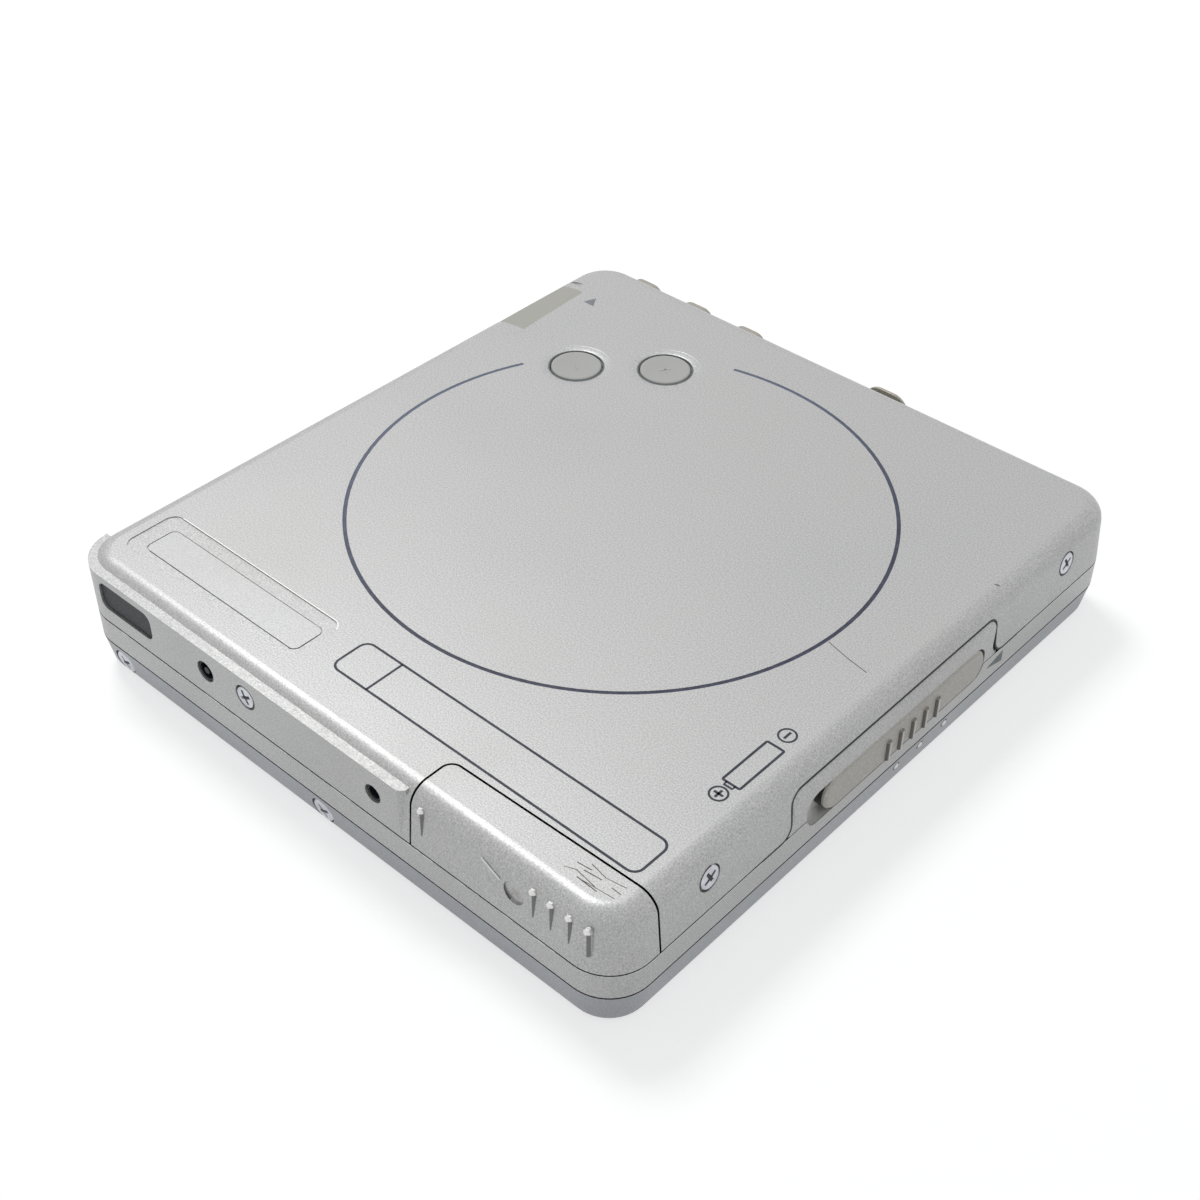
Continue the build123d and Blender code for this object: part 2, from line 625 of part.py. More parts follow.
with BuildPart() as cartridge_holder:
    with BuildSketch(Plane.XY.offset(HOLDER_Z0)):
        with Locations((sum(HOLDER_X) / 2, sum(HOLDER_Y) / 2)):
            Rectangle(LENGTH_X, HOLDER_Y[1] - HOLDER_Y[0])
        with Locations((DISC_X, DISC_Y)):
            RectangleRounded(46.0, 54.0, 8.0, mode=Mode.SUBTRACT)
        for side in HINGE_SIDES:
            with Locations((HOLDER_X[0], side * 31.15)):
                Rectangle(1.4, 2.3, mode=Mode.SUBTRACT)
    extrude(amount=HOLDER_SHEET)
    for wall_y, inward in ((HOLDER_Y[0], 1), (HOLDER_Y[1], -1)):
        side_x = sum(HOLDER_X) / 2
        with Locations((side_x, wall_y + inward * HOLDER_SHEET / 2, HOLDER_Z0)):
            Box(
                LENGTH_X,
                HOLDER_SHEET,
                HOLDER_TOP - HOLDER_Z0,
                align=(Align.CENTER, Align.CENTER, Align.MIN),
            )
        with Locations((side_x, wall_y + inward * HOLDER_LIP / 2, HOLDER_TOP)):
            Box(
                LENGTH_X,
                HOLDER_LIP,
                HOLDER_SHEET,
                align=(Align.CENTER, Align.CENTER, Align.MAX),
            )
    # Stop wall behind the cartridge, and the ears that hang on the pins.
    with Locations((HOLDER_X[0], 0, HOLDER_Z0)):
        Box(HOLDER_SHEET, 2 * EAR_Y[1], 3.6, align=(Align.MIN, Align.CENTER, Align.MIN))
    for side in HINGE_SIDES:
        y_low, y_high = sorted((side * EAR_Y[0], side * EAR_Y[1]))
        with BuildSketch(Plane.XZ.offset(-y_high)):
            with BuildLine():
                Polyline(
                    (-35.7, 1.4),
                    (HINGE_X - 0.1, HINGE_Z - 0.9),
                    (HINGE_X, HINGE_Z + 0.9),
                    (-35.7, 4.8),
                    close=True,
                )
            make_face()
            with Locations((HINGE_X, HINGE_Z)):
                Circle(HINGE_EYE_R)
            with Locations((HINGE_X, HINGE_Z)):
                Circle(HINGE_PIN_R + RUNNING, mode=Mode.SUBTRACT)
        extrude(amount=y_high - y_low)
cartridge_holder.part.label = "cartridge_holder"
export_step(cartridge_holder.part, "parts/cartridge_holder.step")

# ------------------------------------------------------------- hinge pins
PIN_Y = (28.7, 34.8)

with BuildPart() as hinge_pins:
    for side in HINGE_SIDES:
        y_low, y_high = sorted((side * PIN_Y[0], side * PIN_Y[1]))
        with BuildSketch(Plane.XZ.offset(-y_high)):
            with Locations((HINGE_X, HINGE_Z)):
                Circle(HINGE_PIN_R)
        extrude(amount=y_high - y_low)
hinge_pins.part.label = "hinge_pins"
export_step(hinge_pins.part, "parts/hinge_pins.step")

# ----------------------------------------------------------- mech chassis
CHASSIS_X0 = -37.6
ROD_X = (-12.0, 9.5)
ROD_R = 0.75
ROD_Y = (-33.6, -3.9)
GEAR_MODULE = 0.2
GEAR_FACE = 1.0
SCREW_X = -16.0
IDLER_X = SCREW_X - (18 + 10) * GEAR_MODULE / 2
PINION_X = IDLER_X - (18 + 10) * GEAR_MODULE / 2
SLOW_GEAR_Y = -34.5  # plane of the lead screw's gear
FAST_GEAR_Y = -35.8  # plane of the motor's pinion
TURNTABLE_HOLE_R = 5.6

with BuildPart() as mech_chassis:
    with BuildSketch(Plane.XY.offset(CHASSIS_Z0)):
        with Locations(((CHASSIS_X0 + 19.0) / 2, 0)):
            RectangleRounded(19.0 - CHASSIS_X0, 82.4, 2.0)
        with Locations((DISC_X, DISC_Y)):
            Circle(TURNTABLE_HOLE_R, mode=Mode.SUBTRACT)
        with Locations((DISC_X, -18.0)):
            RectangleRounded(14.0, 26.0, 1.5, mode=Mode.SUBTRACT)
        with Locations((-26.0, 22.0)):
            RectangleRounded(12.0, 22.0, 2.0, mode=Mode.SUBTRACT)
        with Locations((-28.0, -8.0)):
            RectangleRounded(12.0, 20.0, 2.0, mode=Mode.SUBTRACT)
    extrude(amount=CHASSIS_Z1 - CHASSIS_Z0)

    # Posts that hold the ends of the guide rods.
    for rod_x in ROD_X:
        for post_y in (ROD_Y[0], ROD_Y[1] - 1.0):
            with Locations((rod_x, post_y, CHASSIS_Z1)):
                Box(3.2, 1.0, 3.6, align=(Align.CENTER, Align.MIN, Align.MIN))
        with BuildSketch(Plane.XZ.offset(-ROD_Y[0] - 0.5)):
            with Locations((rod_x, SHAFT_Z)):
                Circle(ROD_R)
        extrude(amount=ROD_Y[0] - ROD_Y[1] + 1.0, mode=Mode.SUBTRACT)

    # Bearing posts of the lead screw and the bracket of motor and gears.
    with Locations((SCREW_X, -4.9, CHASSIS_Z1)):
        Box(3.2, 1.0, 3.6, align=(Align.CENTER, Align.MIN, Align.MIN))
    with Locations(((SCREW_X + PINION_X) / 2, -33.8, CHASSIS_Z1)):
        Box(SCREW_X - PINION_X + 4.4, 0.6, 4.1, align=(Align.CENTER, Align.MIN, Align.MIN))
    for y_low, y_high in ((-34.0, -33.0), (-5.1, -3.7)):
        with BuildSketch(Plane.XZ.offset(-y_high)):
            with Locations((SCREW_X, SHAFT_Z)):
                Circle(0.6 + RUNNING)
        extrude(amount=y_high - y_low, mode=Mode.SUBTRACT)
    with BuildSketch(Plane.XZ.offset(32.8)):
        with Locations((PINION_X, SHAFT_Z)):
            Circle(0.7)
    extrude(amount=1.5, mode=Mode.SUBTRACT)
    with BuildSketch(Plane.XZ.offset(33.8)):
        with Locations((IDLER_X, SHAFT_Z)):
            Circle(0.5)
    extrude(amount=3.3)

    # Folded edge along the battery, and the screw holes.
    with Locations((18.6, 0, CHASSIS_Z1 - 0.1)):
        Box(0.4, 50.0, 2.0, align=(Align.MIN, Align.CENTER, Align.MIN))
    for spot in CHASSIS_SCREWS:
        with Locations((spot[0], spot[1], CHASSIS_Z0)):
            Cylinder(0.65, 3, mode=Mode.SUBTRACT)
mech_chassis.part.label = "mech_chassis"
export_step(mech_chassis.part, "parts/mech_chassis.step")

# --------------------------------------------------------- chassis screws
with BuildPart() as chassis_screws:
    for spot in CHASSIS_SCREWS:
        with Locations((spot[0], spot[1], CHASSIS_Z1)):
            Cylinder(1.1, 0.6, align=(Align.CENTER, Align.CENTER, Align.MIN))
        with Locations((spot[0], spot[1], CHASSIS_Z0 - 0.6)):
            Cylinder(0.55, 1.2, align=(Align.CENTER, Align.CENTER, Align.MIN))
chassis_screws.part.label = "chassis_screws"
export_step(chassis_screws.part, "parts/chassis_screws.step")

# ---------------------------------------------------------- spindle motor
MOTOR_Z = (7.6, 10.8)
SPINDLE_R = 0.75

with BuildPart() as spindle_motor:
    with BuildSketch(Plane.XY.offset(MOTOR_Z[0])):
        with Locations((DISC_X, DISC_Y)):
            Circle(8.6)
            Circle(SPINDLE_R + RUNNING, mode=Mode.SUBTRACT)
    extrude(amount=MOTOR_Z[1] - MOTOR_Z[0] - 0.5)
    with BuildSketch(Plane.XY.offset(MOTOR_Z[1] - 0.5)):
        with Locations((DISC_X, DISC_Y)):
            Circle(6.2)
    extrude(amount=0.5)
    with Locations((DISC_X, DISC_Y + 10.5, MOTOR_Z[0])):
        Box(7.0, 7.0, 0.4, align=(Align.CENTER, Align.CENTER, Align.MIN))
spindle_motor.part.label = "spindle_motor"
export_step(spindle_motor.part, "parts/spindle_motor.step")

# -------------------------------------------------------------- turntable
with BuildPart() as turntable:
    with BuildSketch(Plane.XY.offset(5.9)):
        with Locations((DISC_X, DISC_Y)):
            Circle(4.6)
        with Locations((DISC_X, DISC_Y)):
            with PolarLocations(3.3, 3):
                Circle(0.7, mode=Mode.SUBTRACT)
    extrude(amount=0.7)
    with BuildSketch(Plane.XY.offset(5.9)):
        with Locations((DISC_X, DISC_Y)):
            Circle(1.9)
    extrude(amount=-0.6, taper=18)
    with Locations((DISC_X, DISC_Y, 6.5)):
        Cylinder(SPINDLE_R, 3.4, align=(Align.CENTER, Align.CENTER, Align.MIN))
turntable.part.label = "turntable"
export_step(turntable.part, "parts/turntable.step")

# ------------------------------------------------------------ guide rods
with BuildPart() as guide_rods:
    for rod_x in ROD_X:
        with BuildSketch(Plane.XZ.offset(-ROD_Y[0] - 0.5)):
            with Locations((rod_x, SHAFT_Z)):
                Circle(ROD_R)
        extrude(amount=ROD_Y[0] - ROD_Y[1] + 1.0)
guide_rods.part.label = "guide_rods"
export_step(guide_rods.part, "parts/guide_rods.step")

# --------------------------------------------------------- optical pickup
SLED_Y = (-16.4, -5.4)
SLED_Z = (8.0, 11.4)

with BuildPart() as optical_pickup:
    sled_y = sum(SLED_Y) / 2
    with Locations((-2.0, sled_y, SLED_Z[0])):
        Box(17.0, SLED_Y[1] - SLED_Y[0], 3.2, align=(Align.CENTER, Align.CENTER, Align.MIN))
    with Locations((-12.0, sled_y, SLED_Z[0])):
        Box(3.4, SLED_Y[1] - SLED_Y[0], 3.4, align=(Align.CENTER, Align.CENTER, Align.MIN))
    with Locations((9.3, sled_y, SLED_Z[0] + 0.3)):
        Box(2.8, 4.0, 2.8, align=(Align.CENTER, Align.CENTER, Align.MIN))
    with Locations((6.8, sled_y, SLED_Z[0] + 0.3)):
        Box(2.8, 4.0, 2.2, align=(Align.CENTER, Align.CENTER, Align.MIN))
    # Boss of the lens carrier, above the window of the chassis.
    with Locations((DISC_X, sled_y, 7.3)):
        Box(8.0, 8.0, 0.8, align=(Align.CENTER, Align.CENTER, Align.MIN))
    # Bores for the rods: round on one side, an open fork on the other.
    with BuildSketch(Plane.XZ.offset(-SLED_Y[0] + 1)):
        with Locations((ROD_X[0], SHAFT_Z)):
            Circle(ROD_R + RUNNING)
    extrude(amount=-(SLED_Y[1] - SLED_Y[0] + 2), mode=Mode.SUBTRACT)
    with Locations((ROD_X[1] + 1.0, sled_y, SHAFT_Z)):
        Box(4.0, 6.0, 2 * (ROD_R + RUNNING), mode=Mode.SUBTRACT)
    # Half nut that rides on the lead screw.
    with Locations((-14.5, sled_y, SLED_Z[0])):
        Box(2.0, 3.0, 2.6, align=(Align.CENTER, Align.CENTER, Align.MIN))
    with BuildSketch(Plane.XZ.offset(-SLED_Y[0] + 1)):
        with Locations((SCREW_X, SHAFT_Z)):
            Circle(0.95 + RUNNING)
    extrude(amount=-(SLED_Y[1] - SLED_Y[0] + 2), mode=Mode.SUBTRACT)
optical_pickup.part.label = "optical_pickup"
export_step(optical_pickup.part, "parts/optical_pickup.step")

# --------------------------------------------------------- objective lens
with BuildPart() as objective_lens:
    with Locations((DISC_X, sum(SLED_Y) / 2, 6.5)):
        Cylinder(2.6, 0.8, align=(Align.CENTER, Align.CENTER, Align.MIN))
    with BuildSketch(Plane.XY.offset(6.5)):
        with Locations((DISC_X, sum(SLED_Y) / 2)):
            Circle(1.9)
    extrude(amount=-0.5, taper=40)
objective_lens.part.label = "objective_lens"
export_step(objective_lens.part, "parts/objective_lens.step")

# -------------------------------------------------------------- lead screw
with BuildPart() as lead_screw:
    with BuildSketch(Plane.XZ.offset(32.6)):
        with Locations((SCREW_X, SHAFT_Z)):
            Circle(0.95)
    extrude(amount=-27.5)
    with BuildSketch(Plane.XZ.offset(35.2)):
        with Locations((SCREW_X, SHAFT_Z)):
            Circle(0.6)
    extrude(amount=-31.2)
    with BuildSketch(Plane.XZ.offset(-SLOW_GEAR_Y)):
        with Locations((SCREW_X, SHAFT_Z)):
            add(gear_outline(18, GEAR_MODULE))
    extrude(amount=GEAR_FACE)
lead_screw.part.label = "lead_screw"
export_step(lead_screw.part, "parts/lead_screw.step")

# -------------------------------------------------------------- idler gear
with BuildPart() as idler_gear:
    with BuildSketch(Plane.XZ.offset(-SLOW_GEAR_Y)):
        with Locations((IDLER_X, SHAFT_Z)):
            add(gear_outline(10, GEAR_MODULE, 0.5))
    extrude(amount=GEAR_FACE + 0.4)
    with BuildSketch(Plane.XZ.offset(-FAST_GEAR_Y)):
        with Locations((IDLER_X, SHAFT_Z)):
            add(gear_outline(18, GEAR_MODULE))
    extrude(amount=GEAR_FACE)
    with BuildSketch(Plane.XZ.offset(-SLOW_GEAR_Y - 1)):
        with Locations((IDLER_X, SHAFT_Z)):
            Circle(0.5 + RUNNING)
    extrude(amount=5, mode=Mode.SUBTRACT)
idler_gear.part.label = "idler_gear"
export_step(idler_gear.part, "parts/idler_gear.step")

# ------------------------------------------------------------ motor pinion
with BuildPart() as motor_pinion:
    with BuildSketch(Plane.XZ.offset(-FAST_GEAR_Y)):
        with Locations((PINION_X, SHAFT_Z)):
            add(gear_outline(10, GEAR_MODULE, 0.5))
    extrude(amount=GEAR_FACE)
    with BuildSketch(Plane.XZ.offset(32.3)):
        with Locations((PINION_X, SHAFT_Z)):
            Circle(0.4)
    extrude(amount=4.0)
motor_pinion.part.label = "motor_pinion"
export_step(motor_pinion.part, "parts/motor_pinion.step")

# -------------------------------------------------------------- sled motor
with BuildPart() as sled_motor:
    with BuildSketch(Plane.XZ.offset(33.1)):
        with Locations((PINION_X, SHAFT_Z)):
            Circle(2.05)
    extrude(amount=-10.0)
    with BuildSketch(Plane.XZ.offset(23.1)):
        with Locations((PINION_X, SHAFT_Z)):
            Circle(0.9)
    extrude(amount=-0.5)
    with BuildSketch(Plane.XZ.offset(33.2)):
        with Locations((PINION_X, SHAFT_Z)):
            Circle(0.4 + RUNNING)
    extrude(amount=-1.0, mode=Mode.SUBTRACT)
sled_motor.part.label = "sled_motor"
export_step(sled_motor.part, "parts/sled_motor.step")

# -------------------------------------------------------------- main board
with BuildPart() as main_board:
    with BuildSketch(Plane.XY.offset(BOARD_Z0)):
        with BuildLine():
            Polyline(
                (-37.4, -37.5),
                (18.7, -37.5),
                (18.7, 38.2),
                (-34.0, 38.2),
                (-37.4, 34.0),
                close=True,
            )
        make_face()
        with Locations((-10.4, -38.0)):
            RectangleRounded(5.0, 4.0, 0.8, mode=Mode.SUBTRACT)
        with GridLocations(44.0, 60.0, 2, 2):
            Circle(0.8, mode=Mode.SUBTRACT)
    extrude(amount=BOARD_Z1 - BOARD_Z0)
main_board.part.label = "main_board"
export_step(main_board.part, "parts/main_board.step")

# ------------------------------------------------------------- board parts
CHIPS = [
    ((-4.0, -4.0), (12.0, 12.0), 1.1),
    ((-20.0, -14.0), (8.0, 8.0), 0.9),
    ((9.0, -22.0), (7.0, 9.0), 0.9),
    ((-24.0, -30.0), (6.0, 4.4), 0.9),
    ((10.0, 22.0), (5.0, 7.0), 0.9),
    ((-8.0, -20.0), (3.2, 2.5), 0.7),
    ((4.0, 10.0), (4.4, 3.6), 0.8),
]
with BuildPart() as board_parts:
    for spot, size, height in CHIPS:
        with Locations((spot[0], spot[1], BOARD_Z1)):
            Box(size[0], size[1], height, align=(Align.CENTER, Align.CENTER, Align.MIN))
board_parts.part.label = "board_parts"
export_step(board_parts.part, "parts/board_parts.step")

# --------------------------------------------------------- volume switches
SWITCH_TOP = 12.85

with BuildPart() as volume_switches:
    for spot in VOLUME_SPOTS.values():
        with Locations((spot[0], spot[1], BOARD_Z1)):
            Box(3.6, 3.6, 0.2, align=(Align.CENTER, Align.CENTER, Align.MIN))
        with Locations((spot[0], spot[1], BOARD_Z1)):
            Cylinder(1.0, SWITCH_TOP - BOARD_Z1, align=(Align.CENTER, Align.CENTER, Align.MIN))
volume_switches.part.label = "volume_switches"
export_step(volume_switches.part, "parts/volume_switches.step")

# ---------------------------------------------------------- volume buttons
volume_buttons = {}
for name, spot in VOLUME_SPOTS.items():
    with BuildPart() as button:
        with Locations((spot[0], spot[1], 13.55)):
            Cylinder(3.7, 0.4, align=(Align.CENTER, Align.CENTER, Align.MIN))
        with Locations((spot[0], spot[1], 13.9)):
            Cylinder(VOLUME_R, 1.2, align=(Align.CENTER, Align.CENTER, Align.MIN))
        chamfer(button.faces().sort_by(Axis.Z)[-1].edges(), 0.2)
        with Locations((spot[0], spot[1], 13.6)):
            Cylinder(0.9, 0.42, align=(Align.CENTER, Align.CENTER, Align.MAX))
    button.part.label = "volume_" + name
    export_step(button.part, "parts/volume_" + name + ".step")
    volume_buttons[name] = button.part

# --------------------------------------------------------------- key board
KEY_BOARD_Y = (38.9, 39.4)
KEY_SPOTS = {name: (key_x, KEY_Z) for name, key_x in SMALL_KEY_X.items()}
KEY_SPOTS["play"] = (PLAY_KEY_X, COLLAR_Z)

with BuildPart() as key_board:
    with Locations((-12.8, KEY_BOARD_Y[0], 9.4)):
        Box(48.0, KEY_BOARD_Y[1] - KEY_BOARD_Y[0], 4.2, align=(Align.CENTER, Align.MIN, Align.MIN))
    for key_x, key_z in KEY_SPOTS.values():
        with Locations((key_x, KEY_BOARD_Y[1], key_z)):
            Box(3.4, 0.5, 2.8, align=(Align.CENTER, Align.MIN, Align.CENTER))
        with BuildSketch(Plane.XZ.offset(-KEY_BOARD_Y[1])):
            with Locations((key_x, key_z)):
                Circle(0.8)
        extrude(amount=-0.9)
key_board.part.label = "key_board"
export_step(key_board.part, "parts/key_board.step")

# -------------------------------------------------------------- small keys
small_keys = {}
for name, key_x in SMALL_KEY_X.items():
    with BuildPart() as key:
        with BuildSketch(Plane.XZ.offset(-41.85)):
            with Locations((key_x, KEY_Z)):
                SlotOverall(*KEY_SIZE)
        extrude(amount=41.85 - KEY_FACE)
        chamfer(key.faces().sort_by(Axis.Y)[-1].edges(), 0.3)
        with BuildSketch(Plane.XZ.offset(-41.4)):
            with Locations((key_x, KEY_Z)):
                SlotOverall(KEY_SIZE[0] + 1.2, KEY_SIZE[1] + 0.7)
        extrude(amount=-0.5)
        with BuildSketch(Plane.XZ.offset(-40.75)):
            with Locations((key_x, KEY_Z)):
                Circle(0.6)
        extrude(amount=-0.8)
    key.part.label = "key_" + name
    export_step(key.part, "parts/key_" + name + ".step")
    small_keys[name] = key.part

# ---------------------------------------------------------------- play key
with BuildPart() as key_play:
    with BuildSketch(Plane.XZ.offset(-41.4)):
        with Locations((PLAY_KEY_X, COLLAR_Z)):
            SlotOverall(*PLAY_KEY_SIZE)
    extrude(amount=41.4 - PLAY_KEY_FACE)
    chamfer(key_play.faces().sort_by(Axis.Y)[-1].edges(), 0.5)
    with BuildSketch(Plane.XZ.offset(-40.9)):
        with Locations((PLAY_KEY_X, COLLAR_Z)):
            SlotOverall(PLAY_KEY_SIZE[0] + 1.0, PLAY_KEY_SIZE[1] + 0.8)
    extrude(amount=-0.55)
    with BuildSketch(Plane.XZ.offset(-40.75)):
        with Locations((PLAY_KEY_X, COLLAR_Z)):
            Circle(0.6)
    extrude(amount=-0.5)
key_play.part.label = "key_play"
export_step(key_play.part, "parts/key_play.step")

# -------------------------------------------------------------- key collar
with BuildPart() as key_collar:
    with BuildSketch(Plane.XZ.offset(-41.6)):
        with Locations((COLLAR_X, COLLAR_Z)):
            SlotOverall(COLLAR_SIZE[0] - 0.1, COLLAR_SIZE[1] - 0.1)
    extrude(amount=41.6 - COLLAR_FACE)
    chamfer(key_collar.faces().sort_by(Axis.Y)[-1].edges(), 0.4)
    with BuildSketch(Plane.XZ.offset(-41.5)):
        with Locations((PLAY_KEY_X, COLLAR_Z)):
            SlotOverall(PLAY_KEY_SIZE[0] + 2 * KEY_PLAY, PLAY_KEY_SIZE[1] + 2 * KEY_PLAY)
    extrude(amount=-4, mode=Mode.SUBTRACT)
key_collar.part.label = "key_collar"
export_step(key_collar.part, "parts/key_collar.step")

# ---------------------------------------------------------- terminal block
with BuildPart() as terminal_block:
    with Locations((-25.6, -41.9, 9.0)):
        Box(21.2, 3.7, 4.2, align=(Align.CENTER, Align.MIN, Align.MIN))
    with BuildSketch(Plane.XZ.offset(41.8)):
        with Locations((sum(WINDOW_X) / 2, sum(WINDOW_Z) / 2)):
            RectangleRounded(WINDOW_X[1] - WINDOW_X[0] - 0.3, WINDOW_Z[1] - WINDOW_Z[0] - 0.3, 0.9)
    extrude(amount=1.3)
    with BuildSketch(Plane.XZ.offset(41.8)):
        with Locations((LEFT_SOCKET[0], LEFT_SOCKET[1])):
            Circle(LEFT_SOCKET[2] - 0.05)
    extrude(amount=1.35)
    with BuildSketch(Plane.XZ.offset(44)):
        with Locations((LEFT_SOCKET[0], LEFT_SOCKET[1])):
            Circle(LEFT_SOCKET[2] - 0.3)
            Circle(0.4, mode=Mode.SUBTRACT)
    extrude(amount=-4.6, mode=Mode.SUBTRACT)
terminal_block.part.label = "terminal_block"
export_step(terminal_block.part, "parts/terminal_block.step")

# ------------------------------------------------------------ right socket
with BuildPart() as right_socket:
    with BuildSketch(Plane.XZ.offset(43.1)):
        with Locations((RIGHT_SOCKET[0], RIGHT_SOCKET[1])):
            Circle(RIGHT_SOCKET[2] - 0.05)
    extrude(amount=-1.5)
    with Locations((RIGHT_SOCKET[0], -41.7, RIGHT_SOCKET[1])):
        Box(4.4, 3.0, 3.0, align=(Align.CENTER, Align.MIN, Align.CENTER))
    with BuildSketch(Plane.XZ.offset(44)):
        with Locations((RIGHT_SOCKET[0], RIGHT_SOCKET[1])):
            Circle(RIGHT_SOCKET[2] - 0.35)
    extrude(amount=-3.4, mode=Mode.SUBTRACT)
right_socket.part.label = "right_socket"
export_step(right_socket.part, "parts/right_socket.step")

# ------------------------------------------------------------- jack socket
with BuildPart() as jack_socket:
    with Locations((JACK_X, 30.4, 8.3)):
        Box(7.0, 11.2, 4.6, align=(Align.CENTER, Align.MIN, Align.MIN))
    with BuildSketch(Plane.XZ.offset(-41.0)):
        with Locations((JACK_X, JACK_Z)):
            Circle(2.5)
    extrude(amount=-2.0)
    with BuildSketch(Plane.XZ.offset(-44)):
        with Locations((JACK_X, JACK_Z)):
            Circle(JACK_R)
    extrude(amount=12.4, mode=Mode.SUBTRACT)
jack_socket.part.label = "jack_socket"
export_step(jack_socket.part, "parts/jack_socket.step")

# ------------------------------------------------------------- battery tub
BAY_WALL_TOP = 13.0

with BuildPart() as battery_tub:
    with Locations((BAY_X0 - 0.6, BAY_Y0, CHASSIS_Z0)):
        Box(
            BAY_X1 - BAY_X0 + 0.6,
            BAY_Y1 + 0.6 - BAY_Y0,
            BAY_FLOOR_Z - CHASSIS_Z0,
            align=(Align.MIN, Align.MIN, Align.MIN),
        )
    with Locations((BAY_X0 - 0.6, BAY_Y0, CHASSIS_Z0)):
        Box(
            0.6,
            BAY_Y1 + 0.6 - BAY_Y0,
            BAY_WALL_TOP - CHASSIS_Z0,
            align=(Align.MIN, Align.MIN, Align.MIN),
        )
    with Locations((BAY_X0 - 0.6, BAY_Y1, CHASSIS_Z0)):
        Box(
            BAY_X1 - BAY_X0 + 0.6,
            0.6,
            BAY_WALL_TOP - CHASSIS_Z0,
            align=(Align.MIN, Align.MIN, Align.MIN),
        )
    with Locations((28.8, -6.0, CHASSIS_Z0)):
        Box(6.0, 50.0, 2.0, mode=Mode.SUBTRACT)
battery_tub.part.label = "battery_tub"
export_step(battery_tub.part, "parts/battery_tub.step")

# ---------------------------------------------------------- battery spring
with BuildPart() as battery_spring:
    with Locations((24.6, BAY_Y1 - 0.25, 8.4)):
        Box(9.0, 0.25, 4.2, align=(Align.MIN, Align.MIN, Align.MIN))
    with BuildSketch(Plane.XY.offset(9.5)):
        with BuildLine():
            Polyline(
                (24.8, BAY_Y1 - 0.1),
                (29.4, BAY_Y1 - 1.2),
                (31.0, BAY_Y1 - 0.9),
                (31.0, BAY_Y1 - 0.7),
                (29.4, BAY_Y1 - 1.0),
                (25.6, BAY_Y1 - 0.1),
                close=True,
            )
        make_face()
    extrude(amount=2.2)
battery_spring.part.label = "battery_spring"
export_step(battery_spring.part, "parts/battery_spring.step")

# ------------------------------------------------------------- open slider
SLIDER_Y = (-12.3, 16.0)
SLIDER_Z = (6.5, 10.7)
SLIDER_FACE = RIGHT + 0.1
RIDGE_PITCH = 2.18

with BuildPart() as open_slider:
    with BuildSketch(Plane.YZ.offset(POCKET_FLOOR_X + 0.1)) as slider_outline:
        with Locations((sum(SLIDER_Y) / 2, sum(SLIDER_Z) / 2)):
            RectangleRounded(SLIDER_Y[1] - SLIDER_Y[0], SLIDER_Z[1] - SLIDER_Z[0], 2.0)
    extrude(amount=SLIDER_FACE - POCKET_FLOOR_X - 0.1)
    chamfer(open_slider.faces().sort_by(Axis.X)[-1].edges(), 0.25)
    for number in range(5):
        with BuildSketch(Plane.XY.offset(6.7)):
            with Locations((SLIDER_FACE - 0.1, -1.6 + number * RIDGE_PITCH)):
                Circle(0.4)
        extrude(amount=2.5)
    with Locations((POCKET_BACK_X - 0.4, STEM_Y[0], STEM_Z[0])):
        Box(
            1.6,
            STEM_Y[1] - STEM_Y[0],
            STEM_Z[1] - STEM_Z[0] - 0.05,
            align=(Align.MIN, Align.MIN, Align.MIN),
        )
open_slider.part.label = "open_slider"
export_step(open_slider.part, "parts/open_slider.step")

# ------------------------------------------------------------- latch plate
with BuildPart() as latch_plate:
    with Locations((POCKET_BACK_X - 0.9, 0, 5.0)):
        Box(0.5, 52.0, 1.95, align=(Align.MIN, Align.CENTER, Align.MIN))
    for catch_y in CATCH_Y:
        with Locations((POCKET_BACK_X - 0.9, catch_y - 2.45, 2.4)):
            Box(0.5, 1.2, 2.8, align=(Align.MIN, Align.MIN, Align.MIN))
        with Locations((POCKET_BACK_X - 0.9, catch_y - 1.3, 2.4)):
            Box(0.5, 1.15, 0.8, align=(Align.MIN, Align.MIN, Align.MIN))
latch_plate.part.label = "latch_plate"
export_step(latch_plate.part, "parts/latch_plate.step")

# ------------------------------------------------------------- hold slider
with BuildPart() as hold_slider:
    with BuildSketch(Plane.YZ.offset(HOLD_POCKET_X - 0.05)):
        with Locations((30.2, HOLD_Z)):
            RectangleRounded(5.8, 1.7, 0.6)
    extrude(amount=-0.6)
    for number in range(3):
        with Locations((HOLD_POCKET_X - 0.65, 28.9 + number * 1.3, HOLD_Z)):
            Box(0.3, 0.4, 1.3)
    with Locations((HOLD_POCKET_X - 0.2, 29.9, HOLD_Z)):
        Box(1.1, 2.8, 0.8, align=(Align.MIN, Align.CENTER, Align.CENTER))
    with Locations((-38.95, 29.9, HOLD_Z)):
        Box(0.5, 4.6, 2.0, align=(Align.MIN, Align.CENTER, Align.CENTER))
hold_slider.part.label = "hold_slider"
export_step(hold_slider.part, "parts/hold_slider.step")

# ------------------------------------------------------------- case screws
with BuildPart() as case_screws:
    for point, outward in CASE_SCREWS:
        with BuildSketch(side_plane(pushed_in(point, outward, 0.45), outward, SCREW_Z)):
            Circle(SCREW_HEAD_R)
        extrude(amount=-0.43)
        with BuildSketch(side_plane(pushed_in(point, outward, 0.8), outward, SCREW_Z)):
            Circle(SCREW_SHANK_R)
        extrude(amount=-1.6)
case_screws.part.label = "case_screws"
export_step(case_screws.part, "parts/case_screws.step")

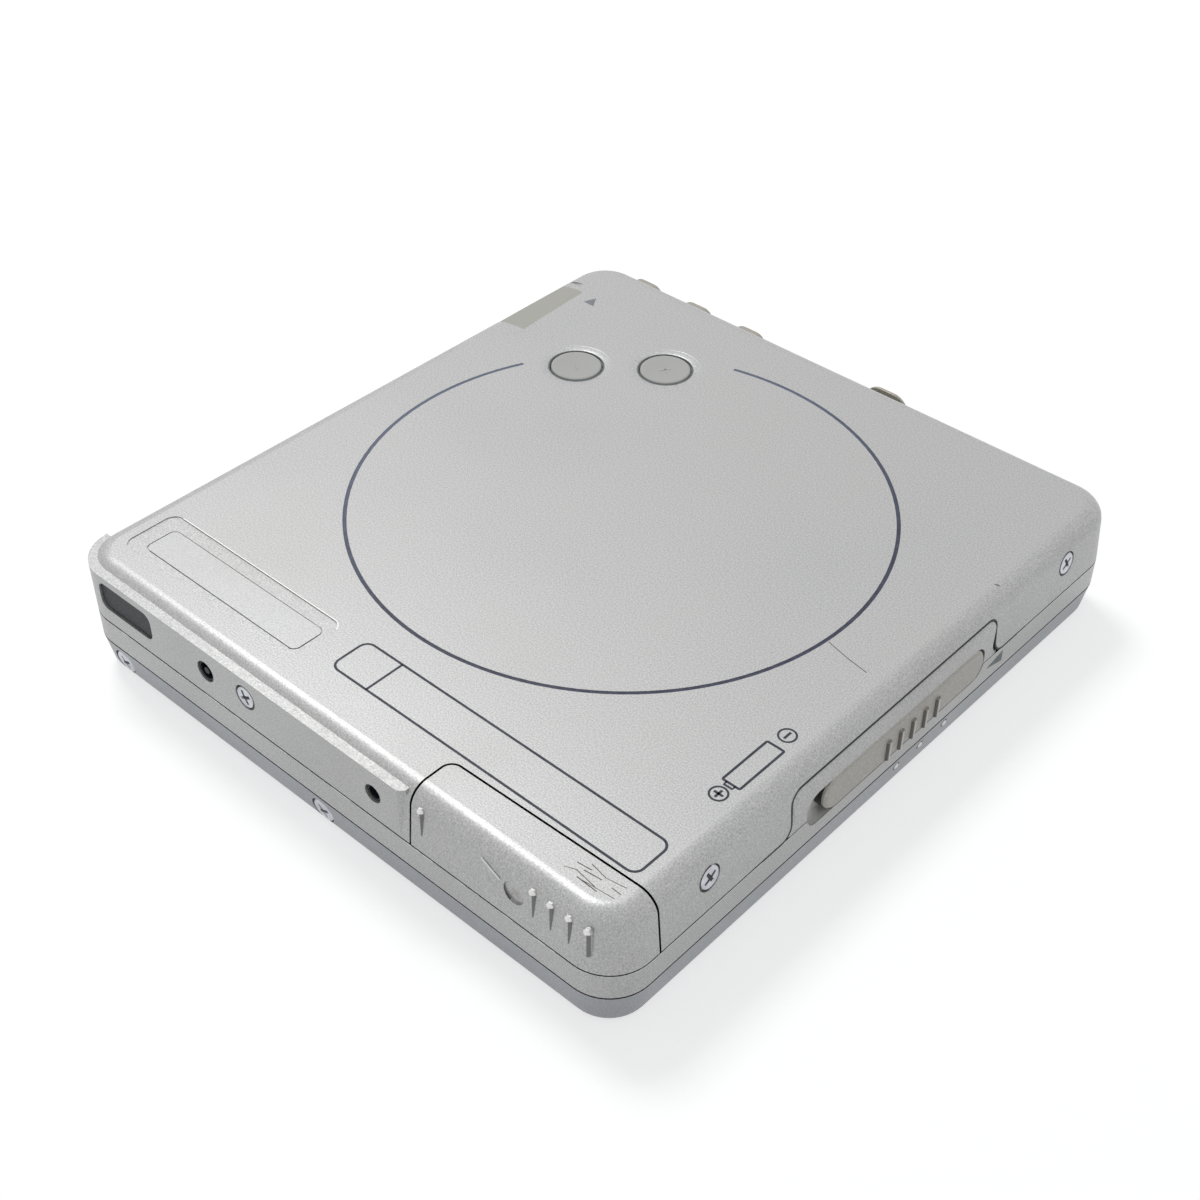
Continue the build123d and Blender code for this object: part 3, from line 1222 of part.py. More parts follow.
# -------------------------------------------------------------- lid screws
with BuildPart() as lid_screws:
    for side in HINGE_SIDES:
        for screw_x in LID_SCREW_X:
            with BuildSketch(side_plane((screw_x, side * 42.95), (0, side), LID_SCREW_Z)):
                Circle(LID_SCREW_HEAD_R)
            extrude(amount=-0.54)
            with BuildSketch(side_plane((screw_x, side * 42.5), (0, side), LID_SCREW_Z)):
                Circle(0.7)
            extrude(amount=-2.1)
lid_screws.part.label = "lid_screws"
export_step(lid_screws.part, "parts/lid_screws.step")
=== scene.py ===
"""A portable minidisc player lying on its lid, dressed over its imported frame."""
import logging
from dataclasses import dataclass, field
from enum import Enum
from math import cos, pi, radians, sin
from typing import Any, Sequence

import bmesh
import bpy
from mathutils import Matrix, Vector


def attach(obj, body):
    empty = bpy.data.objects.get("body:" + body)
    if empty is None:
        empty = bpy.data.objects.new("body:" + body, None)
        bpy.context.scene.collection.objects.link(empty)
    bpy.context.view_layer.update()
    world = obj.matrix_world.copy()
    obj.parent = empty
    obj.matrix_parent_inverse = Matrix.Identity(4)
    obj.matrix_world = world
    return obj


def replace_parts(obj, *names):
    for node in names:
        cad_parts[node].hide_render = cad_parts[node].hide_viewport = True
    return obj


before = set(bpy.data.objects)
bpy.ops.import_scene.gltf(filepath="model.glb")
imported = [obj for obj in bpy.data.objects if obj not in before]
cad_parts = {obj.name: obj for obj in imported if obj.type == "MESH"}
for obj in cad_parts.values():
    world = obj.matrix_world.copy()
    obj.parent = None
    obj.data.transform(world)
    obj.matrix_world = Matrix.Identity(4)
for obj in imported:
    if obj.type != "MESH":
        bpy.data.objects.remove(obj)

Point = tuple[float, float]
Range = tuple[float, float]
Triple = tuple[float, float, float]
Colour = tuple[float, float, float, float]
Path = Sequence[Point]
Box = tuple[Point, Point]
Socket = bpy.types.NodeSocket
Corner = bmesh.types.BMVert

MM = 0.001
NOISE_SPAN = (0.3, 0.7)
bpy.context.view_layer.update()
log = logging.getLogger("player")


def tone(*steps: float) -> Colour:
    """Turns a colour into the renderer's linear values.

    Args:
        *steps: Red, green and blue, from 0 to 255.

    Returns:
        The linear colour with full alpha.
    """
    shares = [step / 255 for step in steps]
    linear = [s / 12.92 if s <= 0.04045 else ((s + 0.055) / 1.055) ** 2.4 for s in shares]
    return (*linear, 1.0)


# ---- finishes
class Graph:
    """A node tree, built up one node at a time."""

    def __init__(self, owner: bpy.types.Material | bpy.types.World) -> None:
        """Empties a tree.

        Args:
            owner: The material or world that it belongs to.
        """
        owner.use_nodes = True
        self.tree = owner.node_tree
        self.tree.nodes.clear()
        self.splits: dict[str, bpy.types.Node] = {}

    def node(self, kind: str, inputs: dict[Any, Any] | None = None, **settings: Any) -> Any:
        """Adds a node.

        Args:
            kind: The node's type name after "ShaderNode".
            inputs: Values or sockets for its inputs, by name or number.
            **settings: Properties of the node itself.

        Returns:
            The new node.
        """
        made = self.tree.nodes.new("ShaderNode" + kind)
        for key, value in settings.items():
            setattr(made, key, value)
        for key, value in (inputs or {}).items():
            if isinstance(value, Socket):
                self.tree.links.new(value, made.inputs[key])
            else:
                made.inputs[key].default_value = value
        return made

    def out(self, kind: str, inputs: dict[Any, Any], **settings: Any) -> Socket:
        """Adds a node and gives its first output."""
        return self.node(kind, inputs, **settings).outputs[0]

    def place(self) -> Socket:
        """The point being shaded, in metres from the frame's origin."""
        return self.node("TexCoord").outputs["Object"]

    def part_of(self, source: str, axis: int) -> Socket:
        """One component of the shaded point ("Object") or of the way it faces ("Normal").

        Args:
            source: "Object" or "Normal".
            axis: 0, 1 or 2.

        Returns:
            The component's socket.
        """
        if source not in self.splits:
            where = self.node("TexCoord").outputs[source]
            self.splits[source] = self.node("SeparateXYZ", {0: where})
        return self.splits[source].outputs[axis]

    def noise(self, scale: float, detail: float = 2.0, stretch: Triple | None = None) -> Socket:
        """A noise value over the surface.

        Args:
            scale: Cells per metre.
            detail: Octaves.
            stretch: Scale along each axis, for a drawn-out noise.

        Returns:
            The socket with values that mostly lie in NOISE_SPAN.
        """
        where = self.place()
        if stretch:
            where = self.out("Mapping", {"Vector": where, "Scale": stretch})
        made = self.node("TexNoise", {"Vector": where, "Scale": scale, "Detail": detail})
        return made.outputs["Fac"]

    def spread(
        self, value: Any, low: float, high: float, least: float = 0.0, most: float = 1.0
    ) -> Socket:
        """Maps a value from one range to another and holds it there."""
        inputs = {"Value": value, 1: low, 2: high, 3: least, 4: most}
        return self.out("MapRange", inputs, clamp=True)

    def math(self, operation: str, first: Any, second: Any) -> Socket:
        """One arithmetic step on two values or sockets."""
        return self.out("Math", {0: first, 1: second}, operation=operation)

    def blend(self, amount: Any, low: Any, high: Any) -> Socket:
        """A colour between two others."""
        inputs = {0: amount, 6: low, 7: high}
        return self.node("Mix", inputs, data_type="RGBA").outputs[2]

    def within(self, source: str, axis: int, low: float, high: float, soft: float) -> Socket:
        """A mask that is 1 while a component stays in a range.

        Args:
            source: "Object" for the place in metres, "Normal" for the way the surface faces.
            axis: 0, 1 or 2.
            low: Lower end of the range.
            high: Upper end of the range.
            soft: Half the width of the fade at both ends.

        Returns:
            The mask's socket.
        """
        value = self.part_of(source, axis)
        rise = self.spread(value, low - soft, low + soft)
        fall = self.spread(value, high - soft, high + soft, 1.0, 0.0)
        return self.math("MULTIPLY", rise, fall)

    def bump(self, height: Any, strength: float, distance: float, below: Any = None) -> Socket:
        """A bumped normal from a height.

        Args:
            height: The height's socket.
            strength: 0 to 1.
            distance: Height of 1, in metres.
            below: A normal to bump further.

        Returns:
            The normal's socket.
        """
        inputs = {"Height": height, "Strength": strength, "Distance": distance}
        if below is not None:
            inputs["Normal"] = below
        return self.out("Bump", inputs)

    def finish(self, colour: Any, rough: Any, normal: Socket | None = None, **more: float) -> None:
        """Closes the tree with a Principled shader.

        Args:
            colour: Base colour, a value or a socket.
            rough: Roughness, a value or a socket.
            normal: A bumped normal.
            **more: Other inputs, with _ for a space.
        """
        inputs = {"Base Color": colour, "Roughness": rough}
        inputs.update((name.replace("_", " "), value) for name, value in more.items())
        if normal:
            inputs["Normal"] = normal
        self.node("OutputMaterial", {"Surface": self.out("BsdfPrincipled", inputs)})


@dataclass(frozen=True)
class Finish:
    """What every finish has: a name, the record's slot and one shared material."""

    name: str
    slot: str

    def material(self) -> bpy.types.Material:
        """The finish's material, made once.

        Returns:
            The material.
        """
        known = bpy.data.materials.get(self.name)
        if not known:
            known = bpy.data.materials.new(self.name)
            self.make(Graph(known))
        return known

    def make(self, graph: Graph) -> None:
        """Builds the node tree; each finish has its own."""
        raise NotImplementedError(self.name)


# Painted shade: the dark laid into seams, the walls inside them and the faces under them.
SHADOW = tone(26, 24, 24)
NORMAL_SOFT = 0.01
RAGGED_SPAN = (0.52, 0.58)


@dataclass(frozen=True)
class Patch:
    """A patch of a part's surface in its own colour: wear, dirt, painted shade, painted highlight.

    The ranges x, y and z are in mm. faces is an axis and the range of the normal along it.
    slant is a slope and the two ends, in mm, of a fade over x + slope * y.
    """

    shade: Colour = SHADOW
    x: Range | None = None
    y: Range | None = None
    z: Range | None = None
    faces: tuple[int, float, float] | None = None
    amount: float = 1.0
    soft: float = 0.04
    ragged: float = 0.0
    slant: Triple | None = None

    def over(self, graph: Graph, colour: Any) -> Any:
        """Lays the patch over a colour.

        Args:
            graph: The material's tree.
            colour: The colour below it.

        Returns:
            The new colour.
        """
        masks = []
        for axis, span in enumerate((self.x, self.y, self.z)):
            if span:
                low, high = span[0] * MM, span[1] * MM
                masks.append(graph.within("Object", axis, low, high, self.soft * MM))
        if self.faces:
            masks.append(graph.within("Normal", *self.faces, NORMAL_SOFT))
        if self.slant:
            slope, low, high = self.slant
            run = graph.math("MULTIPLY", graph.part_of("Object", 1), slope)
            run = graph.math("ADD", graph.part_of("Object", 0), run)
            masks.append(graph.spread(run, low * MM, high * MM, 1.0, 0.0))
        if self.ragged:
            masks.append(graph.spread(graph.noise(self.ragged, 4.0), *RAGGED_SPAN))
        total = self.amount
        for mask in masks:
            total = graph.math("MULTIPLY", total, mask)
        return graph.blend(total, colour, self.shade)


# Painted highlight on the door ridges' tops, painted light in the slider's pocket, and the band's
# worn top edges.
HIGHLIGHT_AND_WEAR = tone(246, 246, 244)
LEDGE_WEAR_AND_SHEEN = tone(240, 240, 234)
SCOOP_SHADE = tone(168, 168, 159)
SMUDGE = tone(112, 96, 82)
RIDGE_SHADE = tone(92, 90, 90)
DIMPLE_DARK = tone(120, 108, 98)
GRIP_SHADE = tone(84, 80, 76)
GRIP_CREST_BRIGHT = tone(226, 224, 220)

LEVEL = (2, -0.04, 0.04)
DOWN = (2, -1.1, -0.9)
UP = (2, 0.9, 1.1)
OUT_FRONT = (1, -1.1, -0.9)
OUT_RIGHT = (0, 0.9, 1.1)
OUT_LEFT = (0, -1.1, -0.9)
ACROSS_RIGHT = (0, -0.3, 0.3)
RIDGE_FLANK = (0, 0.35, 1.1)
GRIP_FLANK = (1, -1.1, -0.3)
SEAM_SOFT = 0.004

# Patches in SHADOW, the default, are painted shade: seams, the walls inside them and the faces
# under them.
COVER_PATCHES = (
    Patch(z=(14.5, 15.1), faces=LEVEL, x=(12.5, 41.0), y=(-44.0, -36.0)),
    Patch(x=(12.5, 41.0), y=(-37.7, -36.6), faces=LEVEL),
    Patch(x=(13.2, 13.75), y=(-43.0, -37.0), faces=LEVEL),
    Patch(x=(37.0, 39.72), y=(-22.0, 22.0), z=(7.8, 13.7), faces=ACROSS_RIGHT),
    Patch(z=(7.8, 7.975), soft=SEAM_SOFT),
    Patch(z=(7.9, 8.2), faces=DOWN),
    Patch(z=(13.1, 13.5), faces=DOWN),
    # The ledge's right part brighter in ragged patches: wear together with a painted sheen.
    Patch(
        LEDGE_WEAR_AND_SHEEN, x=(-16.0, 13.0), y=(-43.5, -42.0), z=(14.3, 14.5), faces=UP, amount=0.45,
        soft=0.3, ragged=2600.0
    ),
    # Painted shade: the hold scoop's facet laid in a darker, warmer grey.
    Patch(SCOOP_SHADE, y=(22.7, 34.6), z=(13.8, 15.2), amount=0.9, slant=(0.0482, -34.03, -33.95)),
    Patch(
        SMUDGE, x=(36.9, 38.4), y=(-42.3, -40.5), z=(13.2, 14.1), amount=0.5, soft=0.25,
        ragged=1500.0
    ),
)
# Patches in SHADOW are painted shade in the door's seams.
DOOR_PATCHES = (
    Patch(z=(14.5, 15.1), faces=LEVEL, y=(-43.0, -36.0)),
    Patch(y=(-37.7, -36.0), faces=LEVEL),
    Patch(x=(13.5, 13.9), faces=OUT_LEFT),
    Patch(z=(7.9, 8.2), faces=DOWN),
    Patch(z=(7.8, 7.975), soft=SEAM_SOFT),
    # Painted highlight on the tops of the door's ridges.
    Patch(HIGHLIGHT_AND_WEAR, z=(13.12, 13.6), y=(-43.4, -42.95)),
    # Painted shade on the right flanks of the door's ridges.
    Patch(
        RIDGE_SHADE, x=(14.0, 36.95), y=(-43.4, -42.9), z=(10.2, 13.2), faces=RIDGE_FLANK,
        amount=0.8
    ),
    # Darker and brownish over the door's dimple.
    Patch(DIMPLE_DARK, x=(27.0, 28.1), y=(-43.4, -42.9), z=(11.0, 11.9), amount=0.6, soft=0.25),
)
# Patches in SHADOW are painted shade in the band's seams and round the latch panel.
BAND_PATCHES = (
    Patch(z=(7.7, 7.9), faces=UP),
    Patch(z=(4.6, 4.8), faces=DOWN),
    Patch(x=(37.0, 39.5), y=(-22.0, -16.9), z=(7.7, 13.6), faces=ACROSS_RIGHT),
    Patch(x=(37.0, 39.5), y=(17.6, 22.0), z=(7.7, 13.6), faces=ACROSS_RIGHT),
    Patch(x=(37.0, 39.5), y=(-17.5, 18.3), z=(12.9, 13.6), faces=ACROSS_RIGHT),
    # Painted light: the shaded pocket beside the slider's left end made bright.
    Patch(HIGHLIGHT_AND_WEAR, x=(38.0, 39.9), y=(-16.8, -11.0), z=(6.0, 11.5)),
    Patch(x=(-41.0, 37.0), z=(7.802, 8.0), soft=SEAM_SOFT),
    # The band's worn top edges, bright in dashes under the seam.
    Patch(HIGHLIGHT_AND_WEAR, z=(7.68, 7.9), faces=OUT_FRONT, amount=0.8, ragged=700.0),
    Patch(HIGHLIGHT_AND_WEAR, z=(7.7, 7.9), faces=OUT_RIGHT, amount=0.5),
)
SLIDER_PATCHES = (
    # Painted shade on the grip ridges' flanks that face the front.
    Patch(GRIP_SHADE, x=(39.95, 40.6), y=(-4.0, 9.0), faces=GRIP_FLANK, amount=0.9),
    # Brighter along the crests of the grip ridges.
    Patch(GRIP_CREST_BRIGHT, x=(40.38, 40.6), y=(-4.0, 9.0), amount=0.7),
    # Painted shade on the walls of the slider's pocket.
    Patch(x=(38.0, 39.6), faces=ACROSS_RIGHT),
)
# Painted shade on the lid's top rim, inside the seam below the band.
LID_PATCHES = (Patch(z=(4.4, 4.6), faces=UP),)


@dataclass(frozen=True)
class PearlPaint(Finish):
    """Silver paint with metal flakes over a moulding."""

    dark: Colour = tone(164, 165, 166)
    light: Colour = tone(222, 222, 220)
    grain: float = 6000.0
    grain_depth: float = 0.5
    roughness: float = 0.4
    metallic: float = 0.5
    patches: tuple[Patch, ...] = ()
    glint_ratio: float = 2.3
    glint_share: float = 0.28
    mottle_scale: float = 55.0
    mottle_share: float = 0.1
    mottle_shade: Colour = tone(160, 160, 152)
    peel_scale: float = 330.0

    def make(self, graph: Graph) -> None:
        """Flakes in two sizes, slow mottling and a soft orange peel."""
        flakes = graph.noise(self.grain, 3.0)
        glints = graph.noise(self.grain * self.glint_ratio, 1.0)
        mottle = graph.noise(self.mottle_scale, 3.0)
        fleck = graph.math(
            "ADD",
            graph.spread(flakes, *NOISE_SPAN, 0.0, 1 - self.glint_share),
            graph.spread(glints, 0.4, 0.75, 0.0, self.glint_share),
        )
        colour = graph.blend(fleck, self.dark, self.light)
        cloud = graph.spread(mottle, 0.35, 0.7, 0.0, self.mottle_share)
        colour = graph.blend(cloud, colour, self.mottle_shade)
        for patch in self.patches:
            colour = patch.over(graph, colour)
        rough = graph.spread(mottle, *NOISE_SPAN, self.roughness - 0.05, self.roughness + 0.06)
        normal = graph.bump(flakes, self.grain_depth, 0.00003)
        normal = graph.bump(graph.noise(self.peel_scale, 2.0), 0.12, 0.00006, normal)
        graph.finish(colour, rough, normal, Metallic=self.metallic)


@dataclass(frozen=True)
class Ink(Finish):
    """Printed or filled-in ink, a little uneven; also laid as lines of painted shade and shadow.
    """

    shade: Colour = tone(28, 30, 48)
    worn: Colour = tone(62, 64, 84)
    patch: float = 900.0

    def make(self, graph: Graph) -> None:
        """Ink that thins in small patches."""
        thin = graph.spread(graph.noise(self.patch, 3.0), 0.45, 0.75, 0.0, 0.8)
        normal = graph.bump(graph.noise(4000.0, 1.0), 0.2, 0.00001)
        colour = graph.blend(thin, self.shade, self.worn)
        graph.finish(colour, 0.5, normal)


@dataclass(frozen=True)
class RingInk(Finish):
    """The fill of the engraved ring: navy in front, greyer towards the far left."""

    near: Colour = tone(34, 38, 66)
    far: Colour = tone(104, 112, 136)
    slope: float = 0.6
    fade: Range = (-34.0, 12.0)

    def make(self, graph: Graph) -> None:
        """A slow change of depth round the ring with fine wear."""
        where = graph.node("SeparateXYZ", {0: graph.place()})
        aside = graph.math("MULTIPLY", where.outputs[1], self.slope)
        slant = graph.math("SUBTRACT", where.outputs[0], aside)
        deep = graph.spread(slant, self.fade[0] * MM, self.fade[1] * MM, 1.0, 0.0)
        wear = graph.spread(graph.noise(1500.0, 2.0), 0.4, 0.7, 0.0, 0.25)
        colour = graph.blend(graph.math("ADD", deep, wear), self.near, self.far)
        graph.finish(colour, 0.45)


EVEN = (1.0, 1.0, 1.0)


@dataclass(frozen=True)
class SheetMetal(Finish):
    """Rolled, turned or plated metal with a direction in its grain."""

    shade: Colour = tone(186, 188, 190)
    deep: Colour = tone(150, 152, 155)
    stretch: Triple = (1.0, 14.0, 14.0)
    grain: float = 260.0
    roughness: float = 0.32

    def make(self, graph: Graph) -> None:
        """Drawn-out noise in colour, gloss and height."""
        draw = graph.noise(self.grain, 4.0, self.stretch)
        stain = graph.noise(90.0, 3.0)
        colour = graph.blend(graph.spread(draw, 0.35, 0.65), self.deep, self.shade)
        colour = graph.blend(graph.spread(stain, 0.55, 0.75, 0.0, 0.18), colour, self.deep)
        rough = graph.spread(draw, *NOISE_SPAN, self.roughness - 0.07, self.roughness + 0.1)
        normal = graph.bump(draw, 0.12, 0.00004)
        graph.finish(colour, rough, normal, Metallic=1.0)


@dataclass(frozen=True)
class Moulding(Finish):
    """Bare moulded plastic with spark-eroded texture."""

    shade: Colour = tone(34, 35, 38)
    dusty: Colour = tone(52, 53, 56)
    roughness: float = 0.5

    def make(self, graph: Graph) -> None:
        """Fine texture and a little dust."""
        texture = graph.noise(3200.0, 2.0)
        dust = graph.spread(graph.noise(240.0, 4.0), 0.5, 0.75, 0.0, 0.6)
        rough = graph.spread(texture, *NOISE_SPAN, self.roughness - 0.05, self.roughness + 0.1)
        normal = graph.bump(texture, 0.3, 0.00002)
        graph.finish(graph.blend(dust, self.shade, self.dusty), rough, normal)


@dataclass(frozen=True)
class SolderMask(Finish):
    """A circuit board: lacquer over copper tracks."""

    lacquer: Colour = tone(24, 84, 52)
    track: Colour = tone(46, 122, 74)
    tracks: float = 900.0

    def make(self, graph: Graph) -> None:
        """Tracks from a brick pattern, raised a little."""
        scale = (self.tracks,) * 3
        where = graph.out("Mapping", {"Vector": graph.place(), "Scale": scale})
        sizes = {"Scale": 0.45, "Mortar Size": 0.06, "Brick Width": 1.7, "Row Height": 0.5}
        brick = graph.node("TexBrick", {"Vector": where, **sizes})
        copper = brick.outputs["Fac"]
        colour = graph.blend(copper, self.lacquer, self.track)
        normal = graph.bump(copper, 0.3, 0.00004)
        graph.finish(colour, 0.3, normal)


@dataclass(frozen=True)
class CoatedLens(Finish):
    """The objective's glass with its blue coating."""

    coat: Colour = tone(92, 110, 190)
    rim: Colour = tone(60, 70, 120)

    def make(self, graph: Graph) -> None:
        """Clear glass that turns bluer in patches."""
        colour = graph.blend(graph.noise(500.0, 1.0), self.rim, self.coat)
        graph.finish(colour, 0.05, Transmission_Weight=0.6)


def pearl(name: str, dark: Colour, light: Colour, slot: str = "cover", **more: Any) -> PearlPaint:
    """A pearl paint between two shades; slot leaves out its "pearl_"."""
    return PearlPaint("pearl_" + name, "pearl_" + slot, dark, light, **more)


class Coat(Enum):
    """Every finish on the player."""

    COVER = PearlPaint("pearl_rear_cover", "pearl_cover", patches=COVER_PATCHES)
    DOOR = PearlPaint("pearl_battery_door", "pearl_cover", patches=DOOR_PATCHES)
    BAND = PearlPaint("pearl_middle_band", "pearl_frame", patches=BAND_PATCHES)
    LID = pearl(
        "lid", tone(150, 153, 158), tone(186, 189, 194), "frame", grain_depth=0.3,
        patches=LID_PATCHES
    )
    SLIDER = pearl(
        "slider", tone(154, 151, 146), tone(198, 194, 188), "frame", patches=SLIDER_PATCHES
    )
    BUTTON = pearl(
        "button", tone(206, 204, 197), tone(236, 234, 227), "button", grain_depth=0.3,
        metallic=0.2
    )
    KEYCAP = pearl("keycap", tone(160, 156, 146), tone(186, 181, 171), "button")
    PLATE = pearl("plate", tone(178, 179, 179), tone(214, 214, 213))
    # Painted highlight: bright paint for lit edges and the dots' tops.
    EDGE = pearl("painted_highlight", tone(226, 226, 225), tone(250, 250, 249))
    # Navy print, also laid as the plate's painted shadow line.
    PRINT = Ink("navy_print_and_shadow", "pearl_cover")
    # Painted shade lines at the ledge, the dots and the screw seats, and the scratches.
    SHADE_AND_SCRATCH = Ink("shade_and_scratch_line", "pearl_cover", tone(48, 46, 46), tone(96, 94, 92), 1500.0)
    SCUFF = Ink("scuff_brown", "pearl_cover", tone(92, 78, 66), tone(156, 148, 140), 1500.0)
    # The engraved arrow's grey, also the painted shade ring round each volume button.
    ENGRAVED_AND_SHADE = Ink("engraved_and_shade_grey", "pearl_frame", tone(104, 112, 116), tone(138, 144, 147))
    FAINT = Ink("print_faint", "pearl_cover", tone(140, 144, 150), tone(160, 162, 166))
    RING = RingInk("ring_fill", "pearl_cover")
    PRESSED = SheetMetal("pressed_steel_sheet", "pressed_steel")
    TURNED = SheetMetal(
        "turned_steel_bar", "turned_steel", grain=400.0, stretch=(14.0, 1.0, 14.0), roughness=0.22
    )
    SCREW = SheetMetal(
        "screw_nickel", "screw_steel", tone(214, 216, 222), tone(186, 188, 194), EVEN, 900.0,
        0.38
    )
    CONTACT = SheetMetal(
        "contact_brass_strip", "contact_brass", tone(212, 180, 110), tone(176, 142, 80)
    )
    ALLOY = SheetMetal(
        "die_cast_alloy", "sled_alloy", shade=tone(150, 152, 156), stretch=EVEN, grain=700.0,
        roughness=0.5
    )
    BLACK = Moulding("black_moulding_plastic", "black_moulding")
    SMOKED = Moulding("smoked_window", "black_moulding", tone(12, 22, 32), tone(26, 36, 46))
    # Painted shade in the screws' crosses and in the latch panel's seam.
    RECESS_SHADE = Moulding("recess_painted_shade", "screw_steel", tone(14, 14, 16), tone(30, 30, 32))
    CHIP = Moulding("chip_resin", "chip_black", tone(22, 22, 24), tone(40, 40, 42))
    GEAR = Moulding("acetal_white", "gear_plastic", tone(226, 223, 212), tone(205, 201, 188))
    BOARD = SolderMask("solder_mask_green", "board_green")
    LENS = CoatedLens("coated_lens_glass", "lens_glass")


# ---- mesh making
CRISP_ANGLE = radians(35)


def add_object(name: str, data: Any) -> bpy.types.Object:
    """Puts a new object in the scene.

    Args:
        name: Its name.
        data: Its mesh, light or camera.

    Returns:
        The object.
    """
    made = bpy.data.objects.new(name, data)
    bpy.context.scene.collection.objects.link(made)
    return made


def arc(centre: Point, radius: float, start: float, sweep: float, steps: int) -> list[Point]:
    """Points along an arc, angles in degrees, both ends included."""
    turns = [radians(start + sweep * number / steps) for number in range(steps + 1)]
    return [(centre[0] + radius * cos(turn), centre[1] + radius * sin(turn)) for turn in turns]


def circle(centre: Point, radius: float, steps: int = 32) -> list[Point]:
    """A closed ring of points."""
    return arc(centre, radius, 0, 360, steps)[:-1]


def bar(centre: Point, reach: float, turn: float) -> list[Point]:
    """The two ends of a straight line through a centre, its turn in degrees."""
    return arc(centre, reach, turn + 180, -180, 1)


def rounded(low: Point, high: Point, radius: float, steps: int = 6) -> list[Point]:
    """The outline of a rectangle with round corners.

    Args:
        low: Lower left corner.
        high: Upper right corner.
        radius: Corner radius.
        steps: Points along each corner.

    Returns:
        The outline, anticlockwise.
    """
    left, bottom, right, top = low[0] + radius, low[1] + radius, high[0] - radius, high[1] - radius
    corners = (((right, bottom), -90), ((right, top), 0), ((left, top), 90), ((left, bottom), 180))
    return [spot for centre, start in corners for spot in arc(centre, radius, start, 90, steps)]


def placed(origin: Sequence[float], *axes: Vector) -> Matrix:
    """The transform from mm along three axes at an origin to the frame's metres."""
    turned = Matrix(axes).transposed().to_4x4()
    return Matrix.Scale(MM, 4) @ Matrix.Translation(origin) @ turned


def facing(spot: Triple, outward: Triple) -> Matrix:
    """The transform that puts local +Z along an outward direction at a spot in mm.

    Args:
        spot: The local origin, in mm.
        outward: Where local +Z looks.

    Returns:
        The transform to the frame's metres.
    """
    out = Vector(outward).normalized()
    along = Vector((0, 0, 1)).cross(out).normalized()
    return placed(spot, along, out.cross(along), out)


